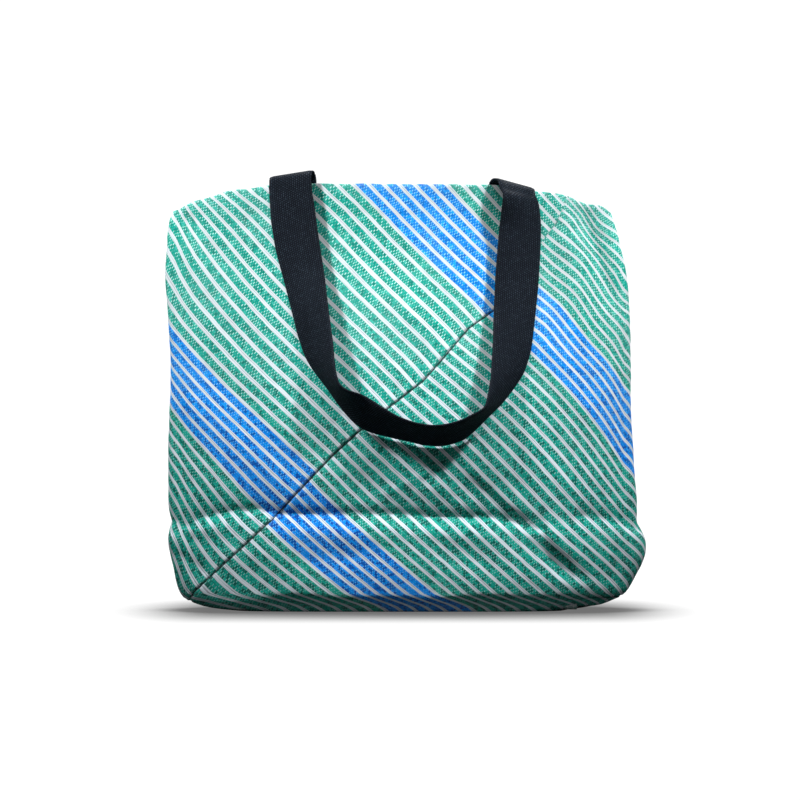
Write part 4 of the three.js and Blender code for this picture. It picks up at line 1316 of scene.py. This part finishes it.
def build_tape(name, node, path, normal, width_axis):
    """Tape along a path, raised toward the inside of the bag by its normals."""
    a = np.linspace(-TAPE_W / 2, TAPE_W / 2, 9)
    grid = path[:, None] + a[None, :, None] * np.asarray(width_axis, float)
    ripple = 0.18 * np.sin(np.arange(len(path)) * 1.3)[:, None]
    puff = ripple * np.exp(-(np.abs(a) - TAPE_W / 2) ** 2 / 4)[None]
    raised = grid + normal[:, None] * (TAPE_T + puff)[..., None]
    raised[:, 0] -= normal * 0.5
    raised[:, -1] -= normal * 0.5
    shape = grid.shape[:2]
    along = arc_length(path)[:, None]
    uv = np.stack([np.broadcast_to(a, shape), np.broadcast_to(along, shape)], -1)
    tape = slab(name, grid, raised, uv, {"dark": np.zeros(shape)}, SEAM_CLOTH)
    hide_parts(node)
    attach(tape, "base_section")


def corner_path(x):
    """Down the inside of the front wall, over the base and up the back wall."""
    heights = np.linspace(CORNER_HIGH, CORNER_LOW, 6)
    floor_z = WALL + 0.2

    def wall_y(z, side):
        reach = min(float(np.abs(outer_y(x + k, z, side))) for k in (-5.5, 0, 5.5))
        return side * (reach - WALL - 0.5)

    def wall(side):
        """Down the wall and round the corner onto the base."""
        points = [(x, wall_y(z, side), z) for z in heights]
        base_y = abs(points[-1][1]) - CORNER_RADIUS
        for a in np.linspace(0.3, math.pi / 2, 4):
            points.append((x, side * (base_y + CORNER_RADIUS * math.cos(a)),
                           floor_z + (CORNER_LOW - floor_z) * (1 - math.sin(a))))
        return points, base_y

    front, base_y = wall(-1)
    back, _ = wall(1)
    base = [(x, y, floor_z) for y in np.linspace(-base_y, base_y, 26)[1:-1]]
    return np.array(front + base + back[::-1])


base_x = np.linspace(-127, 127, 110)
base_path = np.stack([base_x, 0 * base_x, 0 * base_x + WALL + 0.15], 1)
build_tape("base_seam_allowance", "bottom_seam", base_path,
           np.tile([0, 0, 1.0], (len(base_x), 1)), width_axis=(0, 1, 0))
for sign, end in ((-1, "left"), (1, "right")):
    path = corner_path(sign * CORNER_X)
    normal = np.cross([1.0, 0, 0], unit(np.gradient(path, axis=0)))
    build_tape(f"corner_seam_allowance_{end}", f"corner_seam_{end}", path, normal,
               width_axis=(1, 0, 0))


# --------------------------------------- box stitching on the sewn strap ends
BOX_INSET, BOX_LOW, BOX_HIGH = 4.0, 327.5, 351.0


def build_box_stitching(face, side, end):
    """A rectangle with both diagonals, sewn on the inner face of a strap end."""
    grid = STRAPS[face]
    tail = grid[:40] if end == "left" else grid[-40:][::-1]
    x_outer, x_inner = tail[0, 0, 0], tail[0, -1, 0]

    def strap_y(x, z):
        k = (x - x_outer) / (x_inner - x_outer)
        edge = tail[:20, 0] * (1 - k) + tail[:20, -1] * k
        return float(np.interp(z, edge[:, 2], edge[:, 1]))

    x0, x1 = min(x_outer, x_inner) + BOX_INSET, max(x_outer, x_inner) - BOX_INSET
    a, b, c, d = (x0, BOX_LOW), (x1, BOX_LOW), (x1, BOX_HIGH), (x0, BOX_HIGH)
    k = np.linspace(0.02, 0.98, 12)
    runs = []
    for p, q in ((a, b), (b, c), (c, d), (d, a), (a, c), (d, b)):
        x, z = p[0] + k * (q[0] - p[0]), p[1] + k * (q[1] - p[1])
        y = np.array([strap_y(*place) for place in zip(x, z)]) - side * (STRAP_T / 2)
        runs.append((np.stack([x, y, z], 1), np.tile([0, -side, 0.0], (12, 1))))
    thread = stitches(f"{face}_box_stitching_{end}", runs, pitch=3.0, radius=0.36, arch=0.34,
                      material=THREAD)
    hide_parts(f"{face}_box_stitch_{end}")
    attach(thread, "upper_bag")


for side, face in SIDES:
    for end in ("left", "right"):
        build_box_stitching(face, side, end)


# ------------------------------------------------------ lights, in metres
def add_light(name, kind, place, target, power, **settings):
    light = bpy.data.lights.new(name, kind)
    light.energy = power
    for key, value in settings.items():
        setattr(light, key, value)
    lamp = bpy.data.objects.new(name, light)
    lamp.location = place
    aim = Vector(target) - Vector(place)
    lamp.rotation_euler = aim.to_track_quat("-Z", "Y").to_euler()
    bpy.context.scene.collection.objects.link(lamp)


def area(name, place, target, size, power):
    add_light(name, "AREA", place, target, power, shape="RECTANGLE", size=size[0],
              size_y=size[1])


def spot(name, place, target, cone, power, radius):
    """A soft round lamp, bright on its own half of the bag; cone in degrees."""
    add_light(name, "SPOT", place, target, power, spot_size=math.radians(cone),
              spot_blend=1.0, shadow_soft_size=radius)


spot("key_left", place=(-0.55, -0.56, 0.97), target=(-0.165, -0.04, 0.325),
     cone=31, power=62, radius=0.06)
spot("key_right", place=(0.55, -0.56, 0.97), target=(0.168, -0.04, 0.325),
     cone=31, power=59.5, radius=0.06)
area("key_middle", place=(0.0, -0.36, 0.88), target=(0.0, -0.03, 0.34),
     size=(0.26, 0.14), power=0.7)
area("fill_front", place=(0.0, -2.4, 0.9), target=(0, 0, 0.2), size=(1.2, 0.8), power=1.7)
for sign, end in ((1, "left"), (-1, "right")):
    spot(f"back_{end}", place=(sign * 0.55, 0.56, 0.97), target=(sign * 0.160, 0.04, 0.30),
         cone=34, power=50, radius=0.10)
area("back_light", place=(0.0, 1.3, 1.2), target=(0, 0.0, 0.15), size=(1.4, 0.8), power=3.0)


# ----------------------------------------------------- world, floor, camera
BACKDROP = 1.1                # brightness the camera sees behind the bag and on the far floor


def build_world():
    """Dim light on the bag, a bright backdrop for the camera."""
    world = bpy.data.worlds.new("studio")
    bpy.context.scene.world = world
    world.use_nodes = True
    g = Graph(world.node_tree)
    camera_ray = g.add("LightPath", output="Is Camera Ray")
    strength = g.add("Mix", {0: camera_ray, 2: 0.15, 3: BACKDROP}, data_type="FLOAT")
    g.feed(world.node_tree.nodes["Background"], {"Strength": strength, "Color": (1, 1, 1, 1)})


def floor_material():
    """Grey to the light; to the camera, a glow with a painted soft shadow that fades to the backdrop.
    """
    material, g, bsdf = new_material("floor_pale")
    g.feed(bsdf, {"Base Color": (0.10, 0.10, 0.10, 1), "Roughness": 0.95,
                  "Specular IOR Level": 0.0})
    position = g.position()
    x, y, _ = g.split(position)
    # painted contact shadow round the base, beyond a half width and half depth
    pool_x = (abs(x) - 0.165).maximum(0.0) / 0.052
    pool_y = (abs(y) - 0.050).maximum(0.0) / 0.105
    painted_contact_shadow = 0.52 * ((pool_x * pool_x + pool_y * pool_y) * -1.0).exp()
    # painted shadow from the occlusion round the bag, shown in the glow
    openness = g.add("AmbientOcclusion", {"Distance": 0.16}, "AO", samples=16)
    grain = g.noise(position, scale=60.0, detail=3.0)
    shade = g.ramp(openness, over=(0.46, 1.02), to=(0.35, 1.16)) + (grain - 0.5) * 0.015
    shade = shade * (1.0 - painted_contact_shadow)
    distance = g.add("VectorMath", {0: position}, "Value", operation="LENGTH")
    far = g.ramp(distance, over=(0.45, 0.95))
    glow = g.add("Emission", {"Strength": (1.0 - far) * shade + far * BACKDROP})
    camera_ray = g.add("LightPath", output="Is Camera Ray")
    surface = g.add("MixShader", {0: camera_ray, 1: Signal(g, bsdf.outputs[0]), 2: glow})
    g.feed(material.node_tree.nodes["Material Output"], {"Surface": surface})
    return material


def build_floor():
    bpy.ops.mesh.primitive_plane_add(size=30, location=(0, 0, -0.0006))
    floor = bpy.context.object
    floor.name = "floor"
    floor.data.materials.append(floor_material())


def build_camera():
    data = bpy.data.cameras.new("view")
    data.lens, data.sensor_width = LENS, SENSOR
    data.clip_end = 60
    camera = bpy.data.objects.new("view", data)
    camera.location = (CAM_X / 1000, (VIEW_PLANE - CAM_DISTANCE) / 1000, CAM_Z / 1000)
    camera.rotation_euler = (math.pi / 2, 0, 0)
    bpy.context.scene.collection.objects.link(camera)
    bpy.context.scene.camera = camera


build_world()
build_floor()
build_camera()
bpy.context.scene.view_settings.view_transform = "Standard"
